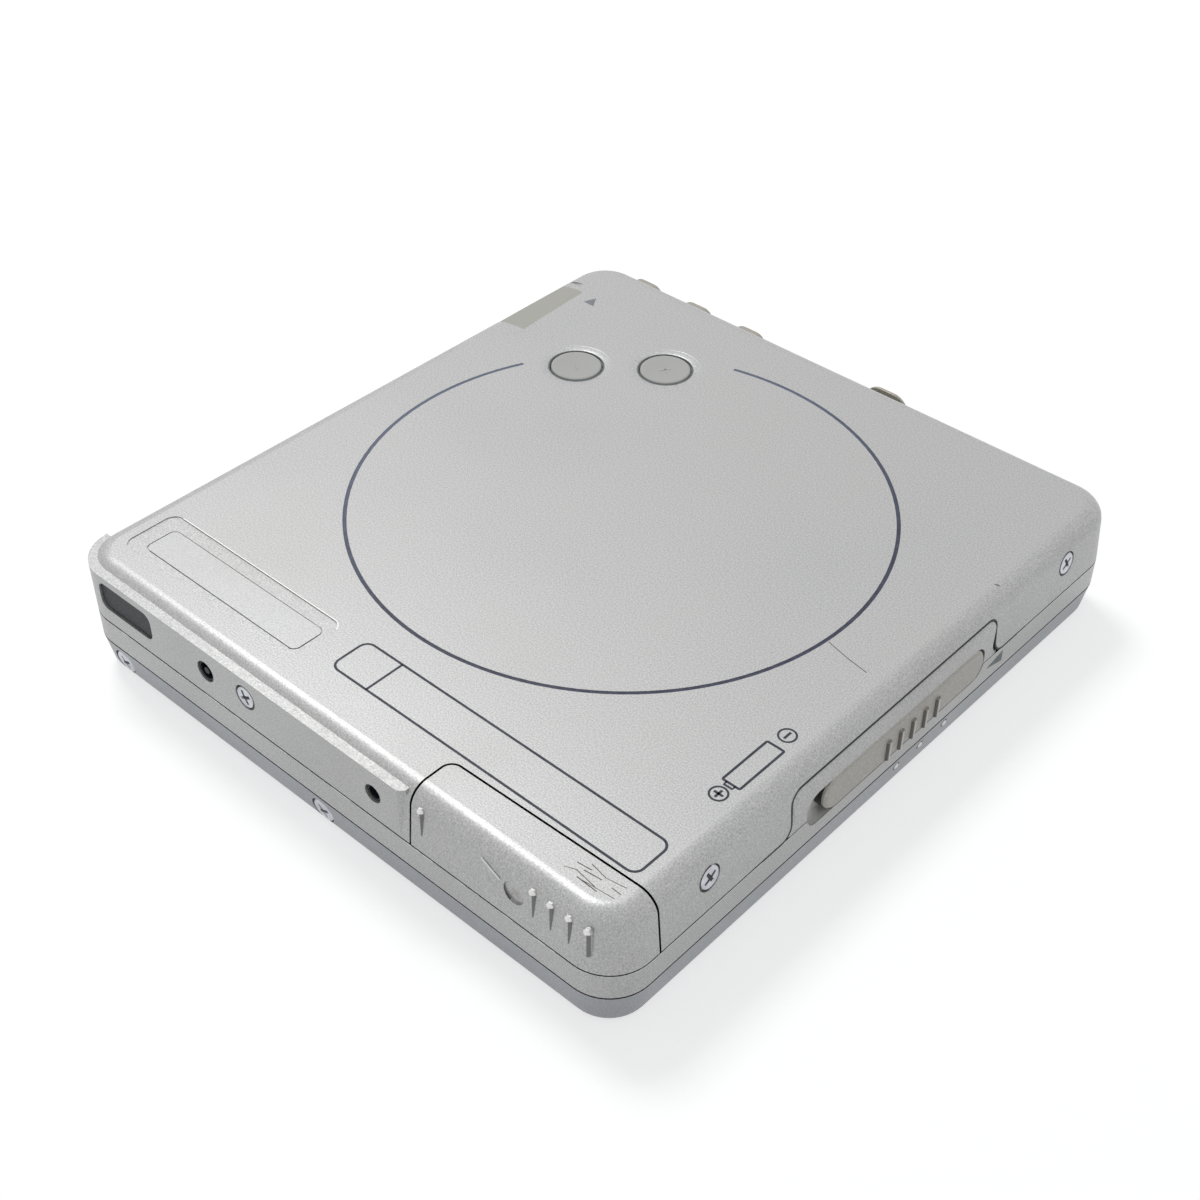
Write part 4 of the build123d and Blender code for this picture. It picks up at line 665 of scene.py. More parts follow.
@dataclass
class Mould:
    """Gathers the surfaces of one piece and turns them into an object."""

    place: Matrix = field(default_factory=lambda: Matrix.Scale(MM, 4))
    mesh: bmesh.types.BMesh = field(default_factory=bmesh.new)

    def corner(self, spot: Point, height: float) -> Corner:
        """Adds one corner."""
        return self.mesh.verts.new(self.place @ Vector((*spot, height)))

    def ring(self, plan: Path, height: float) -> list[Corner]:
        """Adds the corners of a plan at one height."""
        return [self.corner(spot, height) for spot in plan]

    def wall(self, lower: Sequence[Corner], upper: Sequence[Corner]) -> None:
        """Joins two closed rings of as many corners."""
        for corners in zip(lower, lower[1:] + lower[:1], upper[1:] + upper[:1], upper):
            self.mesh.faces.new(corners)

    def prism(self, outline: Path, low: float, high: float) -> "Mould":
        """Adds a closed prism over an outline.

        Args:
            outline: Points of its plan.
            low: Height of its foot.
            high: Height of its top.

        Returns:
            The mould itself.
        """
        pairs = [(self.corner(spot, low), self.corner(spot, high)) for spot in outline]
        foot, top = zip(*pairs)
        self.mesh.faces.new(top)
        self.mesh.faces.new(foot[::-1])
        self.wall(foot, top)
        return self

    def strip(
        self, path: Path, width: float, low: float, high: float, closed: bool = False
    ) -> "Mould":
        """Adds a flat line of even width along a path.

        Args:
            path: Points along its middle.
            width: Its width.
            low: Height of its foot.
            high: Height of its top.
            closed: Whether the last point joins the first.

        Returns:
            The mould itself.
        """
        rails = []
        last = len(path) - 1
        for number, spot in enumerate(path):
            before = Vector(path[number - 1] if number or closed else spot)
            after = Vector(path[(number + 1) % len(path)] if number < last or closed else spot)
            along = (after - before).normalized()
            aside = Vector((-along.y, along.x)) * width / 2
            left, right = Vector(spot) + aside, Vector(spot) - aside
            section = ((left, low), (left, high), (right, high), (right, low))
            rails.append([self.corner(end, height) for end, height in section])
        for here, there in zip(rails, rails[1:]):
            self.wall(here, there)
        if closed:
            self.wall(rails[-1], rails[0])
        else:
            self.mesh.faces.new(rails[0][::-1])
            self.mesh.faces.new(rails[-1])
        return self

    def lathe(self, centre: Point, profile: Path, steps: int = 32) -> "Mould":
        """Adds a turned form.

        Args:
            centre: Where its axis stands.
            profile: Radius and height along its section, out and back.
            steps: Corners in a ring.

        Returns:
            The mould itself.
        """
        rings = []
        for radius, height in profile:
            plan = circle(centre, radius, steps) if radius else [centre]
            rings.append(self.ring(plan, height))
        for lower, upper in zip(rings, rings[1:]):
            for number in range(steps):
                after = (number + 1) % steps
                corners = [lower[number % len(lower)], lower[after % len(lower)]]
                corners += [upper[after % len(upper)], upper[number % len(upper)]]
                self.mesh.faces.new(list(dict.fromkeys(corners)))
        return self

    def piece(self, name: str, coat: Coat, body: str, soften: float = 0.0) -> bpy.types.Object:
        """Closes the mould and makes the object.

        Args:
            name: The piece's name.
            coat: Its finish.
            body: The body it rides on.
            soften: Width of a bevel along its edges, in mm.

        Returns:
            The new object.
        """
        bmesh.ops.recalc_face_normals(self.mesh, faces=self.mesh.faces)
        data = bpy.data.meshes.new(name)
        self.mesh.to_mesh(data)
        self.mesh.free()
        data.materials.append(coat.value.material())
        made = add_object(name, data)
        data.shade_smooth()
        data.set_sharp_from_angle(angle=CRISP_ANGLE)
        if soften:
            bevel = made.modifiers.new("soft_edge", "BEVEL")
            bevel.width = soften * MM
            bevel.segments = 2
            bevel.limit_method = "ANGLE"
            bevel.harden_normals = True
        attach(made, body)
        log.info("%s: %s on %s, %d faces", name, coat.value.name, body, len(data.polygons))
        return made


DISC = (-1.3, 3.8)
WALL_FOOT = 7.96
WALL_LEAN = radians(5)
LID_LEAN = radians(10)


class Side(Enum):
    """The player's faces that carry details: origin, right and up of each, in mm."""

    TOP = ((0, 0, 15.0), (1, 0, 0), (0, 1, 0))
    FRONT = ((0, -43.35, WALL_FOOT), (1, 0, 0), (0, sin(WALL_LEAN), cos(WALL_LEAN)))
    RIGHT = ((40.0, 0, WALL_FOOT), (0, 1, 0), (-sin(WALL_LEAN), 0, cos(WALL_LEAN)))
    RIGHT_BAND = ((40.0, 0, 4.66), (0, 1, 0), (0, 0, 1))
    RIGHT_LID = ((40.0, 0, 4.54), (0, 1, 0), (sin(LID_LEAN), 0, cos(LID_LEAN)))

    def mould(self) -> Mould:
        """An empty mould worked in the face's own mm."""
        origin, along, up = (Vector(part) for part in self.value)
        return Mould(placed(origin, along, up, along.cross(up)))


@dataclass(frozen=True)
class PanHead:
    """A screw's domed head with a cross recess, its seat at local height 0."""

    radius: float
    height: float
    dome: float = 0.06
    rim: float = 0.92
    shoulder: float = 0.8
    slot: float = 0.13
    reach: float = 0.66
    notch: float = 1.2
    turn: float = 0.5
    floor: float = 0.3
    floor_share: float = 0.8
    shade_foot: float = 0.35
    shade_share: float = 0.93
    steps: int = 28

    def cross(self, share: float = 1.0) -> list[Point]:
        """The outline of the recess, or of a share of its size.

        Args:
            share: Its size, as a share of the recess.

        Returns:
            The outline, anticlockwise.
        """
        slot, reach = self.radius * self.slot, self.radius * self.reach
        plan = [(reach, -slot), (reach, slot), (slot * self.notch, slot * self.notch)]
        turns = [Matrix.Rotation(pi / 2 * quarter + self.turn, 2) for quarter in range(4)]
        corners = [turn @ Vector(spot) for turn in turns for spot in plan]
        return [(x * share, y * share) for x, y in corners]

    def crown(self, spot: Point) -> float:
        """The height of the dome over a spot."""
        out = min(1.0, Vector(spot).length / self.radius)
        return self.height + self.dome * (1 - out**2)

    def add(self, mould: Mould) -> None:
        """Adds the head to a mould.

        Args:
            mould: The mould.
        """
        outer = circle((0, 0), self.radius, self.steps)
        inner = circle((0, 0), self.radius * self.rim, self.steps)
        rim = [mould.corner(spot, self.crown(spot)) for spot in inner]
        side = mould.ring(outer, self.height * self.shoulder)
        foot = mould.ring(outer, 0)
        mouth = [mould.corner(spot, self.crown(spot)) for spot in self.cross()]
        floor = mould.ring(self.cross(self.floor_share), self.height * self.floor)
        edges = []
        for loop in (rim, mouth):
            edges += [mould.mesh.edges.new(pair) for pair in zip(loop, loop[1:] + loop[:1])]
        bmesh.ops.triangle_fill(mould.mesh, use_beauty=True, edges=edges)
        for lower, upper in ((foot, side), (side, rim), (mouth, floor)):
            mould.wall(lower, upper)
        mould.mesh.faces.new(floor)
        mould.mesh.faces.new(foot[::-1])

    def fill(self, mould: Mould) -> None:
        """Adds the recess's painted shade, a dark block at its bottom, to a mould."""
        low, high = self.height * self.shade_foot, self.height * self.shoulder
        mould.prism(self.cross(self.shade_share), low, high)


def dress(coats: dict[Coat, tuple[str, ...]]) -> None:
    """Gives carried-over nodes their finishes.

    Args:
        coats: The names of the nodes that get each finish.
    """
    for coat, names in coats.items():
        for name in names:
            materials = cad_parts[name].data.materials
            materials.clear()
            materials.append(coat.value.material())
            log.info("%s: %s", name, coat.value.name)


# ---- sub-assemblies
@dataclass
class RearCover:
    """The cover's ring, plate, printed marks, scratches and lines of painted shade and highlight.
    """

    ring_radius: float = 31.06
    ring_width: float = 0.42
    ring_turn: Range = (155.0, 310.0)
    ring_span: Range = (-0.15, -0.03)
    plate_box: Box = ((-34.4, -37.28), (-9.55, -33.15))
    plate_round: float = 0.8
    plate_span: Range = (-0.24, -0.13)
    plate_gap: float = 0.06
    shadow_start: float = 0.9
    shadow_width: float = 0.12
    shadow_span: Range = (-0.14, -0.115)
    recess_left: float = -36.7
    recess_corner: Point = (-8.6, -31.35)
    recess_round: float = 1.4
    recess_line: float = 0.13
    frame_box: Box = ((-5.0, -36.3), (36.2, -31.3))
    frame_round: float = 1.1
    divider_x: float = 0.3
    line: float = 0.28
    print_span: Range = (0.002, 0.012)
    cell_box: Box = ((34.3, -21.7), (36.4, -14.85))
    cell_round: float = 0.15
    nub: Point = (0.5, 0.45)
    poles: tuple[tuple[Point, int], ...] = (((35.26, -23.45), 2), ((35.27, -12.91), 1))
    pole_radius: float = 0.92
    pole_line: float = 0.8
    pole_bar: float = 0.6
    hold_arrow: Path = ((-33.33, 34.66), (-33.98, 32.96), (-32.28, 32.96))
    ledge: Path = ((-35.2, -42.08), (12.2, -42.08))
    ledge_span: Range = (-0.62, -0.585)
    scratches: tuple[Path, ...] = (
        ((29.93, 0.85), (33.0, 0.1), (35.6, -0.32)),
        ((37.45, 20.35), (37.95, 20.6)),
    )
    hairline: float = 0.09

    def build(self) -> None:
        """Makes every detail of the cover."""
        self.ring()
        self.plate()
        self.print_frame()
        self.cell_sign()
        self.marks()

    def ring(self) -> None:
        """Fills the engraved ring nearly to its edge."""
        path = arc(DISC, self.ring_radius, *self.ring_turn, 220)
        mould = Side.TOP.mould().strip(path, self.ring_width, *self.ring_span)
        mould.piece("ring_fill", Coat.RING, "case")

    def plate(self) -> None:
        """A blank plate, a painted highlight on the recess's far edge, a painted shadow beside it.
        """
        (low, high), turn = self.plate_box, self.plate_round
        mould = Side.TOP.mould().prism(rounded(low, high, turn), *self.plate_span)
        mould.piece("blank_plate", Coat.PLATE, "case", soften=0.03)
        (right, far), bend = self.recess_corner, self.recess_round
        rim = [(self.recess_left + bend, far), (right - bend, far)]
        rim += arc((right - bend, far - bend), bend, 90, -70, 8)[1:]
        # Painted highlight: a bright strip along the recess's far edge.
        edge = Side.TOP.mould().strip(rim, self.recess_line, *self.print_span)
        edge.piece("recess_edge", Coat.EDGE, "case")
        gap = self.plate_gap
        near = [(low[0] + self.shadow_start, low[1] - gap), (high[0] - turn, low[1] - gap)]
        near += arc((high[0] - turn, low[1] + turn - gap), turn + gap, -90, 90, 6)[1:]
        near += [(high[0] + gap, high[1] - turn)]
        # Painted shadow: a dark line beside the plate's near and right sides.
        shadow = Side.TOP.mould().strip(near, self.shadow_width, *self.shadow_span)
        shadow.piece("plate_shadow_line", Coat.PRINT, "case")

    def draw(self, mould: Mould, path: Path, closed: bool = False) -> None:
        """Adds a printed line of the usual width."""
        mould.strip(path, self.line, *self.print_span, closed)

    def print_frame(self) -> None:
        """The rounded frame of the caution field, left bare inside."""
        mould = Side.TOP.mould()
        self.draw(mould, rounded(*self.frame_box, self.frame_round), closed=True)
        self.draw(mould, [(self.divider_x, end[1]) for end in self.frame_box])
        mould.piece("print_frame", Coat.PRINT, "case")

    def cell_sign(self) -> None:
        """A battery sign with its poles in circles."""
        mould = Side.TOP.mould()
        self.draw(mould, rounded(*self.cell_box, self.cell_round, 3), closed=True)
        (low_x, near), (high_x, _) = self.cell_box
        middle = (low_x + high_x) / 2
        left, right, tip = middle - self.nub[0], middle + self.nub[0], near - self.nub[1]
        self.draw(mould, [(left, near), (left, tip), (right, tip), (right, near)])
        for centre, bars in self.poles:
            edge = circle(centre, self.pole_radius)
            mould.strip(edge, self.line * self.pole_line, *self.print_span, closed=True)
            for number in range(bars):
                reach = self.pole_radius * self.pole_bar
                self.draw(mould, bar(centre, reach, 90 - 90 * number))
        mould.piece("cell_sign", Coat.PRINT, "case")

    def marks(self) -> None:
        """The arrow beside the hold scoop, a painted shade line behind the ledge and two
        scratches.
        """
        arrow = Side.TOP.mould().prism(self.hold_arrow, *self.print_span)
        arrow.piece("hold_arrow", Coat.FAINT, "case")
        # Painted shade: a dark line in the crease behind the ledge.
        ledge = Side.TOP.mould().strip(self.ledge, self.hairline, *self.ledge_span)
        ledge.piece("ledge_shade_line", Coat.SHADE_AND_SCRATCH, "case")
        mould = Side.TOP.mould()
        low, high = self.print_span
        for path in self.scratches:
            mould.strip(path, self.hairline, low, high / 2)
        mould.piece("top_scratches", Coat.SHADE_AND_SCRATCH, "case")


@dataclass
class VolumeButtons:
    """The two round buttons: dished tops, their marks and the soft dish round each.

    spots gives each button's name, its middle and the bars in its mark.
    """

    spots: tuple[tuple[str, Point, int], ...] = (
        ("minus", (-24.4, 21.2), 1),
        ("plus", (-15.7, 28.1), 2),
    )
    profile: Path = (
        (0.0, 14.86), (0.8, 14.865), (1.6, 14.885), (2.3, 14.93), (2.7, 14.972), (2.92, 14.985),
        (3.06, 14.955), (3.13, 14.88), (3.15, 14.78), (3.15, 13.95), (3.7, 13.95), (3.7, 13.55),
        (0.0, 13.55),
    )
    dish: Path = (
        (3.37, 14.4), (3.37, 14.8), (3.46, 14.87), (3.7, 14.925), (4.05, 14.965), (4.5, 14.99),
        (5.0, 15.003), (5.0, 14.9), (4.6, 14.4), (3.37, 14.4),
    )
    steps: int = 64
    gap_shade_radius: float = 3.44
    gap_shade_width: float = 0.15
    gap_shade_span: Range = (14.8, 14.9)
    reach: float = 0.8
    width: float = 0.24
    mark_span: Range = (-0.16, -0.1)
    turn: float = -38.0

    def build(self) -> None:
        """Makes both buttons, one bar for minus and two for plus."""
        for name, centre, bars in self.spots:
            body = name + "_button"
            top = Mould().lathe(centre, self.profile, self.steps)
            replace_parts(top.piece("button_" + name, Coat.BUTTON, body), "volume_" + name)
            dish = Mould().lathe(centre, self.dish, self.steps)
            dish.piece("dish_" + name, Coat.COVER, "case")
            # Painted shade: a grey ring in the gap round the button.
            edge = circle(centre, self.gap_shade_radius, self.steps)
            gap = Mould().strip(edge, self.gap_shade_width, *self.gap_shade_span, closed=True)
            gap.piece("gap_" + name, Coat.ENGRAVED_AND_SHADE, "case")
            mark = Side.TOP.mould()
            for number in range(bars):
                path = bar(centre, self.reach, self.turn + 90 * number)
                mark.strip(path, self.width, *self.mark_span)
            mark.piece("mark_" + name, Coat.BUTTON, body, soften=0.015)


@dataclass(frozen=True)
class Seat:
    """Where a screw sits: its seat's middle in mm, the way it faces and how high its head is.

    lean moves the head aside in its hole, and shaded is where its painted shade crescent starts.
    """

    spot: Triple
    outward: Triple
    head: float
    lean: Point = (0.0, 0.0)
    shaded: float | None = None


@dataclass
class Screws:
    """Cross-headed screws that stand for the plain ones, with painted shade in crosses and seats.
    """

    case_radius: float = 1.33
    lid_radius: float = 1.45
    shank: float = 0.6
    length: float = 1.9
    pitch: float = 0.2
    turns: int = 9
    root: float = 0.84
    crescent: float = 0.12
    crescent_sweep: float = 130.0
    crescent_out: float = 0.08
    crescent_span: Range = (-0.1, 0.075)
    case_seats: tuple[Seat, ...] = (
        Seat((-10.5, -42.44, 11.85), (0, -1, 0), 0.835, (-0.07, -0.07), -40.0),
        Seat((39.12, -29.8, 11.85), (1, 0, 0.0875), 0.5, (0.07, -0.07), 80.0),
        Seat((39.12, 32.4, 11.85), (1, 0, 0.0875), 0.5, (0.07, -0.07), 80.0),
        Seat((18.0, 42.44, 11.85), (0, 1, 0), 0.56),
        Seat((-39.12, -28.0, 11.85), (-1, 0, 0), 0.56),
    )
    lid_seats: tuple[Seat, ...] = (
        Seat((-33.6, -42.43, 2.25), (0, -1, -0.176), 0.48),
        Seat((-0.3, -42.43, 2.25), (0, -1, -0.176), 0.48),
        Seat((-33.6, 42.43, 2.25), (0, 1, -0.176), 0.48),
        Seat((-0.3, 42.43, 2.25), (0, 1, -0.176), 0.48),
    )

    def build(self) -> None:
        """Makes both sets of screws."""
        self.screws("case_screws", self.case_radius, self.case_seats, "case")
        self.screws("lid_screws", self.lid_radius, self.lid_seats, "lid")

    def thread(self) -> list[Point]:
        """The profile of a shank with its ridges, from the axis out and back.

        Returns:
            Radius and height along it.
        """
        ridges = [(0.0, 0.02)]
        for number in range(self.turns):
            ridges.append((self.shank, -(number + 0.25) * self.pitch))
            ridges.append((self.shank * self.root, -(number + 0.75) * self.pitch))
        return ridges + [(self.shank / 2, -self.length), (0.0, -self.length)]

    def screws(self, node: str, radius: float, seats: Sequence[Seat], body: str) -> None:
        """Makes one set of screws and the painted shade in their crosses and seats.

        Args:
            node: The node that they stand for.
            radius: Radius of a head.
            seats: Where they sit.
            body: The body they ride on.
        """
        mould, crosses, shades = Mould(), Mould(), Mould()
        for seat in seats:
            place = facing(seat.spot, seat.outward)
            # Painted shade: a dark crescent strip beside the head.
            if seat.shaded is not None:
                out = radius + self.crescent_out
                path = arc((0, 0), out, seat.shaded, self.crescent_sweep, 16)
                shades.place = place
                low, high = (seat.head + end for end in self.crescent_span)
                shades.strip(path, self.crescent, low, high)
            mould.place = crosses.place = place @ Matrix.Translation((*seat.lean, 0.0))
            head = PanHead(radius, seat.head)
            head.add(mould)
            # Painted shade: a dark block down in the cross recess.
            head.fill(crosses)
            mould.lathe((0, 0), self.thread(), 20)
        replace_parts(mould.piece(node + "_heads", Coat.SCREW, body), node)
        crosses.piece(node + "_cross_shade", Coat.RECESS_SHADE, body)
        if shades.mesh.verts:
            shades.piece(node + "_seat_shade", Coat.SHADE_AND_SCRATCH, body)


@dataclass
class Fittings:
    """Small moulded marks on the door, the band and the lid."""

    door_arrow: Path = ((23.2, 5.1), (25.65, 4.0), (23.2, 2.95))
    door_span: Range = (-0.05, 0.1)
    lit_width: float = 0.2
    lit_span: Range = (0.03, 0.115)
    band_arrow: Path = ((17.2, 1.84), (20.2, 2.5), (20.2, 1.05))
    band_span: Range = (-0.05, 0.03)
    hump_y: Range = (-17.5, 18.3)
    hump_foot: float = -0.06
    hump_top: float = 13.2
    hump_round: float = 1.6
    hump_run: float = 4.5
    seam_width: float = 0.22
    seam_span: Range = (-0.4, 0.02)
    scuffs: tuple[Path, ...] = (
        ((30.7, -39.83), (31.95, -39.32)), ((31.88, -39.38), (34.42, -39.75)),
        ((32.39, -39.95), (34.9, -40.05)), ((33.01, -39.94), (36.6, -39.6)),
        ((32.4, -37.94), (34.44, -38.31)), ((32.35, -38.95), (34.33, -38.73)),
        ((34.44, -38.31), (36.6, -37.95)), ((35.61, -38.81), (36.7, -38.86)),
        ((31.24, -38.68), (32.88, -38.47)),
    )
    scuff_widths: Triple = (0.07, 0.09, 0.11)
    scuff_span: Range = (-0.03, 0.008)
    dot_y: Triple = (1.1, 5.4, 9.9)
    dot_height: float = -1.15
    dot_radius: float = 0.38
    dot_rise: float = 0.2
    dot_foot: float = -0.1
    dot_sink: float = 0.02
    dot_steps: int = 20
    shade_ring_out: float = 0.16
    shade_ring_span: Range = (-0.03, 0.012)

    def build(self) -> None:
        """Makes the arrows, the seam, the scuffs and the row of dots."""
        self.arrows()
        self.hump_seam()
        self.marks()
        for number, along in enumerate(self.dot_y, 1):
            self.dot((along, self.dot_height), number)

    def arrows(self) -> None:
        """The door's raised arrow with a painted highlight on its edge, and the release arrow."""
        arrow = Side.FRONT.mould().prism(self.door_arrow, *self.door_span)
        arrow.piece("door_arrow", Coat.DOOR, "door", soften=0.04)
        # Painted highlight: a bright strip on the arrow's upper edge.
        lit = Side.FRONT.mould().strip(self.door_arrow[:2], self.lit_width, *self.lit_span)
        lit.piece("door_arrow_edge", Coat.EDGE, "door")
        arrow = Side.RIGHT_BAND.mould().prism(self.band_arrow, *self.band_span)
        arrow.piece("release_arrow", Coat.ENGRAVED_AND_SHADE, "case", soften=0.01)

    def hump_seam(self) -> None:
        """Fills the open seam round the latch panel with painted shade, up to the wall's face."""
        (left, right), turn, run = self.hump_y, self.hump_round, self.hump_run
        foot, top = self.hump_foot, (self.hump_top - WALL_FOOT) / cos(WALL_LEAN)
        path = [(left - run, foot)]
        path += arc((left - turn, foot + turn), turn, -90, 90, 10)
        path += arc((left + turn, top - turn), turn, 180, -90, 10)
        path += arc((right - turn, top - turn), turn, 90, -90, 10)
        path += arc((right + turn, foot + turn), turn, 180, 90, 10)
        path.append((right + run, foot))
        # Painted shade: a dark strip in the seam round the latch panel.
        seam = Side.RIGHT.mould().strip(path, self.seam_width, *self.seam_span)
        seam.piece("latch_seam", Coat.RECESS_SHADE, "case")

    def marks(self) -> None:
        """The scuffs near the door's right end."""
        mould = Side.TOP.mould()
        for number, path in enumerate(self.scuffs):
            mould.strip(path, self.scuff_widths[number % 3], *self.scuff_span)
        mould.piece("door_scuffs", Coat.SCUFF, "door")

    def dot(self, spot: Point, number: int) -> None:
        """A raised lid dot, bright as a painted highlight, with a painted shade ring round its
        foot.

        Args:
            spot: Its middle on the lid's side.
            number: Its number in the row.
        """
        radius, rise, foot, sink = self.dot_radius, self.dot_rise, self.dot_foot, self.dot_sink
        turns = [radians(turn) for turn in (65, 40, 15, 0)]
        dome = [(radius * cos(turn), rise * sin(turn) - sink) for turn in turns]
        profile = [(0.0, rise - sink), *dome, (radius, foot), (0.0, foot)]
        # Painted highlight: the dot's dome in bright paint.
        bead = Side.RIGHT_LID.mould().lathe(spot, profile, self.dot_steps)
        bead.piece(f"touch_dot_{number}", Coat.EDGE, "lid")
        low, high = self.shade_ring_span
        outer, inner = radius + self.shade_ring_out, radius - sink
        ring = [(outer, low), (outer, high), (inner, high), (inner, low), (outer, low)]
        # Painted shade: a dark ring round the dot's foot.
        shade_ring = Side.RIGHT_LID.mould().lathe(spot, ring, self.dot_steps)
        shade_ring.piece(f"dot_groove_{number}", Coat.SHADE_AND_SCRATCH, "lid")


@dataclass(frozen=True)
class Key:
    """One side key: its middle, its sign's forms, and its cap's size and reach in mm."""

    name: str
    across: float
    forms: tuple[str, ...]
    height: float = 11.6
    size: Point = (5.2, 3.4)
    reach: Range = (44.0, 44.85)


@dataclass
class Keys:
    """Caps on the side keys with raised signs: skip, skip, stop and play."""

    keys: tuple[Key, ...] = (
        Key("back", -32.9, ("left", "left")),
        Key("forward", -24.1, ("right", "right")),
        Key("stop", -15.3, ("square",)),
        Key("play", 6.1, ("right",), 10.9, (6.4, 4.6), (45.04, 45.46)),
    )
    cap_edge: float = 0.12
    cap_flat: float = 0.01
    sign_span: Range = (-0.02, 0.035)
    sign_size: float = 0.42
    sign_step: float = 1.9
    sign_round: float = 0.08

    def build(self) -> None:
        """Makes each cap and its sign."""
        for key in self.keys:
            foot, face = key.reach
            wide, tall = key.size[0] / 2, key.size[1] / 2
            plan = rounded((-wide, -tall), (wide, tall), tall - self.cap_flat, 10)
            cap = self.on(key, foot).prism(plan, 0.0, face - foot)
            cap.piece("cap_" + key.name, Coat.KEYCAP, key.name + "_key", self.cap_edge)
            self.sign(key)

    def on(self, key: Key, reach: float) -> Mould:
        """An empty mould that looks out from a key's middle, so far out in Y."""
        return Mould(facing((key.across, reach, key.height), (0, 1, 0)))

    def sign(self, key: Key) -> None:
        """Makes one key's sign of triangles or a square.

        Args:
            key: The key.
        """
        mould = self.on(key, key.reach[1])
        size = self.sign_size
        for number, form in enumerate(key.forms):
            middle = (number - (len(key.forms) - 1) / 2) * size * self.sign_step
            if form == "square":
                low, high = (middle - size, -size), (middle + size, size)
                outline = rounded(low, high, self.sign_round, 2)
            else:
                back = size if form == "left" else -size
                outline = [(middle + back, size), (middle - back, 0), (middle + back, -size)]
            mould.prism(outline, *self.sign_span)
        mould.piece("sign_" + key.name, Coat.FAINT, key.name + "_key")


@dataclass
class Mechanism:
    """Finishes of the inner parts, and the turntable's magnet ring, seen when it is open."""

    magnet: Path = (
        (2.7, 5.86), (2.7, 5.9), (4.2, 5.9), (4.2, 5.86), (4.1, 5.82), (2.8, 5.82), (2.7, 5.86),
    )
    sheets: tuple[str, ...] = (
        "lid_frame", "cartridge_holder", "mech_chassis", "latch_plate", "spindle_motor"
    )

    def build(self) -> None:
        """Adds the magnet ring and dresses the nodes."""
        ring = Mould().lathe(DISC, self.magnet, 48)
        ring.piece("magnet_ring", Coat.TURNED, "spindle")
        dress(
            {
                Coat.PRESSED: self.sheets,
                Coat.TURNED: ("hinge_pins", "guide_rods", "lead_screw", "sled_motor"),
                Coat.SCREW: ("chassis_screws",),
                Coat.BLACK: ("turntable", "jack_socket", "battery_tub"),
                Coat.SMOKED: ("terminal_block", "right_socket"),
                Coat.BOARD: ("main_board", "key_board"),
                Coat.CHIP: ("board_parts", "volume_switches"),
                Coat.CONTACT: ("battery_spring", "door_contact", "motor_pinion"),
                Coat.GEAR: ("idler_gear",),
                Coat.ALLOY: ("optical_pickup",),
                Coat.LENS: ("objective_lens",),
            }
        )


@dataclass
class Housing:
    """Finishes of the painted outer parts."""

    keys: tuple[str, ...] = ("key_back", "key_forward", "key_stop", "key_play")

    def build(self) -> None:
        """Dresses the nodes."""
        dress(
            {
                Coat.COVER: ("rear_cover",),
                Coat.DOOR: ("battery_door",),
                Coat.BAND: ("mid_frame", "key_collar"),
                Coat.LID: ("lid_cover",),
                Coat.SLIDER: ("open_slider",),
                Coat.BUTTON: ("hold_slider", *self.keys),
            }
        )


# ---- studio
WHITE = (1.0, 1.0, 1.0, 1.0)


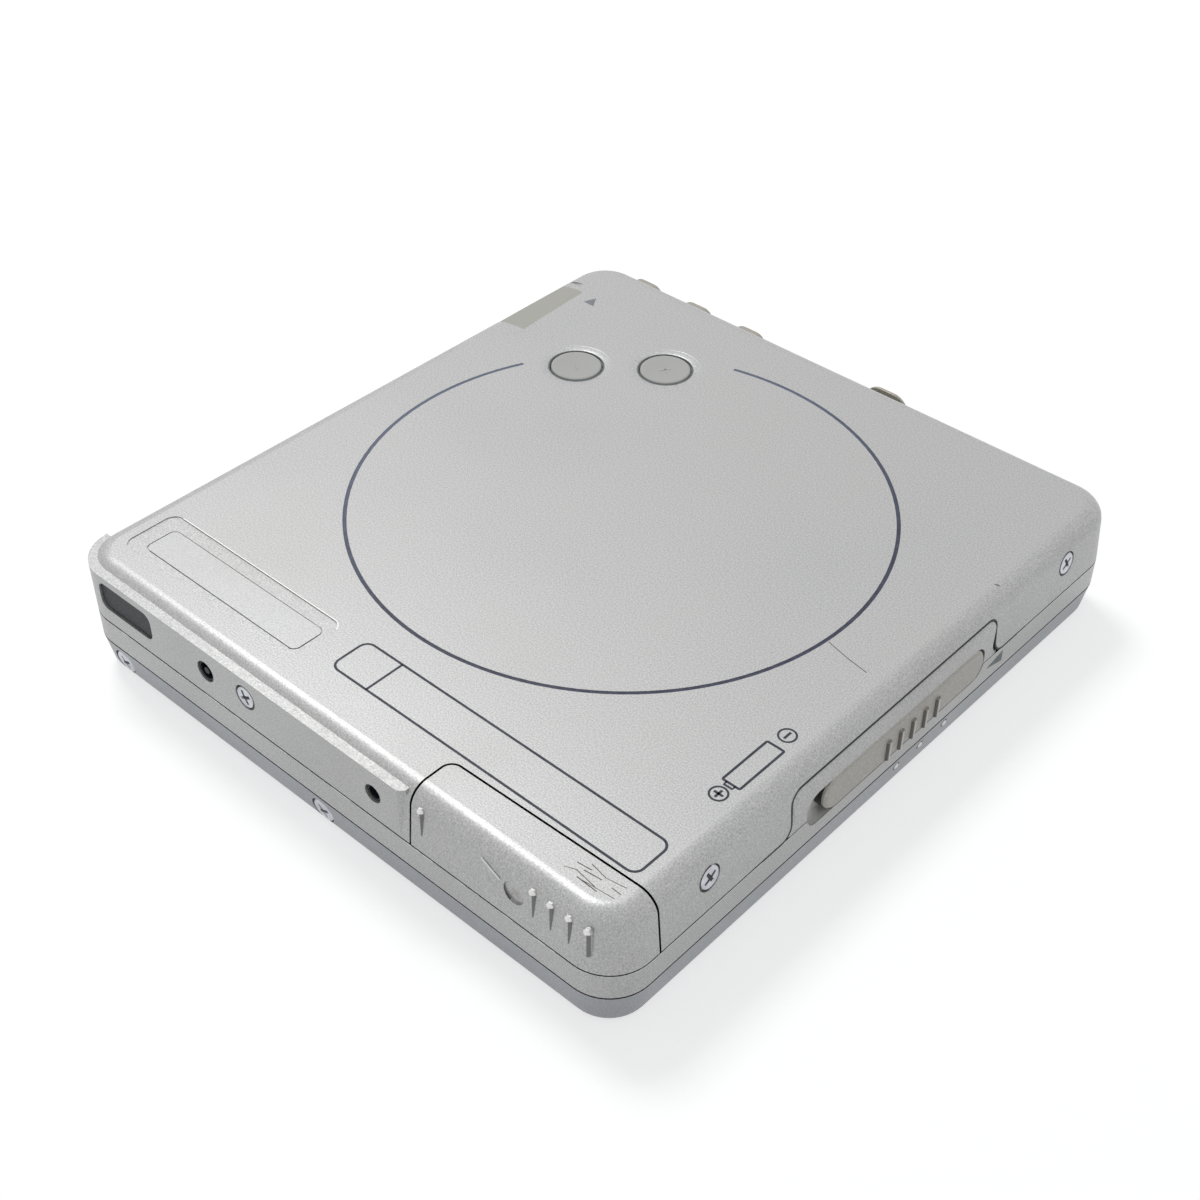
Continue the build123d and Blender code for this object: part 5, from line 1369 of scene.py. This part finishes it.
@dataclass
class Studio:
    """White table, a soft lamp and the camera."""

    ambient: float = 0.36
    sky: Colour = (0.97, 0.985, 1.0, 1.0)
    floor_lift: float = 0.62
    floor_shade: float = 0.64
    floor_light: float = 0.86
    floor_reach: float = 3.0
    azimuth: float = 41.935
    elevation: float = 40.397
    roll: float = 0.5305
    eye: Triple = (0.1058, -0.1189, 0.1393)
    lens: float = 54.42
    sensor: float = 36.0
    clip: float = 0.01
    lamp_place: Triple = (-0.47, 0.14, 0.86)
    lamp_size: float = 0.26
    lamp_power: float = 3.15

    def build(self) -> None:
        """Sets up everything round the player."""
        self.world()
        self.table()
        self.lamp()
        self.camera()
        bpy.context.scene.view_settings.view_transform = "Standard"

    def seen(self, graph: Graph) -> Socket:
        """A value of 1 for rays that look, 0 for rays that light.

        Args:
            graph: The tree it is for.

        Returns:
            The value's socket.
        """
        path = graph.node("LightPath").outputs
        look = graph.math("MAXIMUM", path["Is Camera Ray"], path["Is Glossy Ray"])
        return graph.math("MAXIMUM", look, path["Is Transmission Ray"])

    def world(self) -> None:
        """Plain soft light from all round, white where it is seen."""
        world = bpy.data.worlds.new("studio_world")
        bpy.context.scene.world = world
        graph = Graph(world)
        soft = graph.out("Background", {"Color": self.sky, "Strength": self.ambient})
        white = graph.out("Background", {"Color": WHITE, "Strength": 1.0})
        mix = graph.out("MixShader", {0: self.seen(graph), 1: soft, 2: white})
        graph.node("OutputWorld", {"Surface": mix})

    def table(self) -> None:
        """A wide white table that keeps the player's shadow."""
        material = bpy.data.materials.new("table_white")
        graph = Graph(material)
        plain = graph.out("BsdfDiffuse", {"Color": (self.floor_light,) * 3 + (1.0,)})
        shaded = graph.out("BsdfDiffuse", {"Color": (self.floor_shade,) * 3 + (1.0,)})
        lift = graph.out("Emission", {"Color": WHITE, "Strength": self.floor_lift})
        both = graph.out("AddShader", {0: shaded, 1: lift})
        mix = graph.out("MixShader", {0: self.seen(graph), 1: plain, 2: both})
        graph.node("OutputMaterial", {"Surface": mix})
        data = bpy.data.meshes.new("table_top")
        reach = self.floor_reach
        corners = [(-reach, -reach, 0), (reach, -reach, 0), (reach, reach, 0), (-reach, reach, 0)]
        data.from_pydata(corners, [], [(0, 1, 2, 3)])
        data.materials.append(material)
        add_object("table_top", data)

    def lamp(self) -> None:
        """One square soft lamp that looks at the player."""
        data = bpy.data.lights.new("lamp_key", "AREA")
        data.energy = self.lamp_power
        data.size = self.lamp_size
        made = add_object("lamp_key", data)
        made.location = self.lamp_place
        made.rotation_euler = (-Vector(self.lamp_place)).to_track_quat("-Z", "Y").to_euler()

    def camera(self) -> None:
        """The camera, a hand's breadth off the player's near corner."""
        turn, rise, roll = (radians(a) for a in (self.azimuth, self.elevation, self.roll))
        back = Vector((sin(turn) * cos(rise), -cos(turn) * cos(rise), sin(rise)))
        right = Vector((cos(turn), sin(turn), 0))
        up = back.cross(right)
        rolled_right = right * cos(roll) + up * sin(roll)
        rolled_up = up * cos(roll) - right * sin(roll)
        data = bpy.data.cameras.new("camera")
        data.lens = self.lens
        data.sensor_width = self.sensor
        data.clip_start = self.clip
        made = add_object("camera", data)
        matrix = Matrix((rolled_right, rolled_up, back)).transposed().to_4x4()
        made.matrix_world = Matrix.Translation(self.eye) @ matrix
        bpy.context.scene.camera = made


def main() -> None:
    """Builds the sub-assemblies in order."""
    logging.basicConfig(level=logging.INFO, format="%(message)s")
    for assembly in (Housing, Mechanism, RearCover, VolumeButtons, Screws, Fittings, Keys, Studio):
        log.info("-- %s", assembly.__name__)
        assembly().build()
    bpy.context.view_layer.update()


if __name__ == "__main__":
    main()
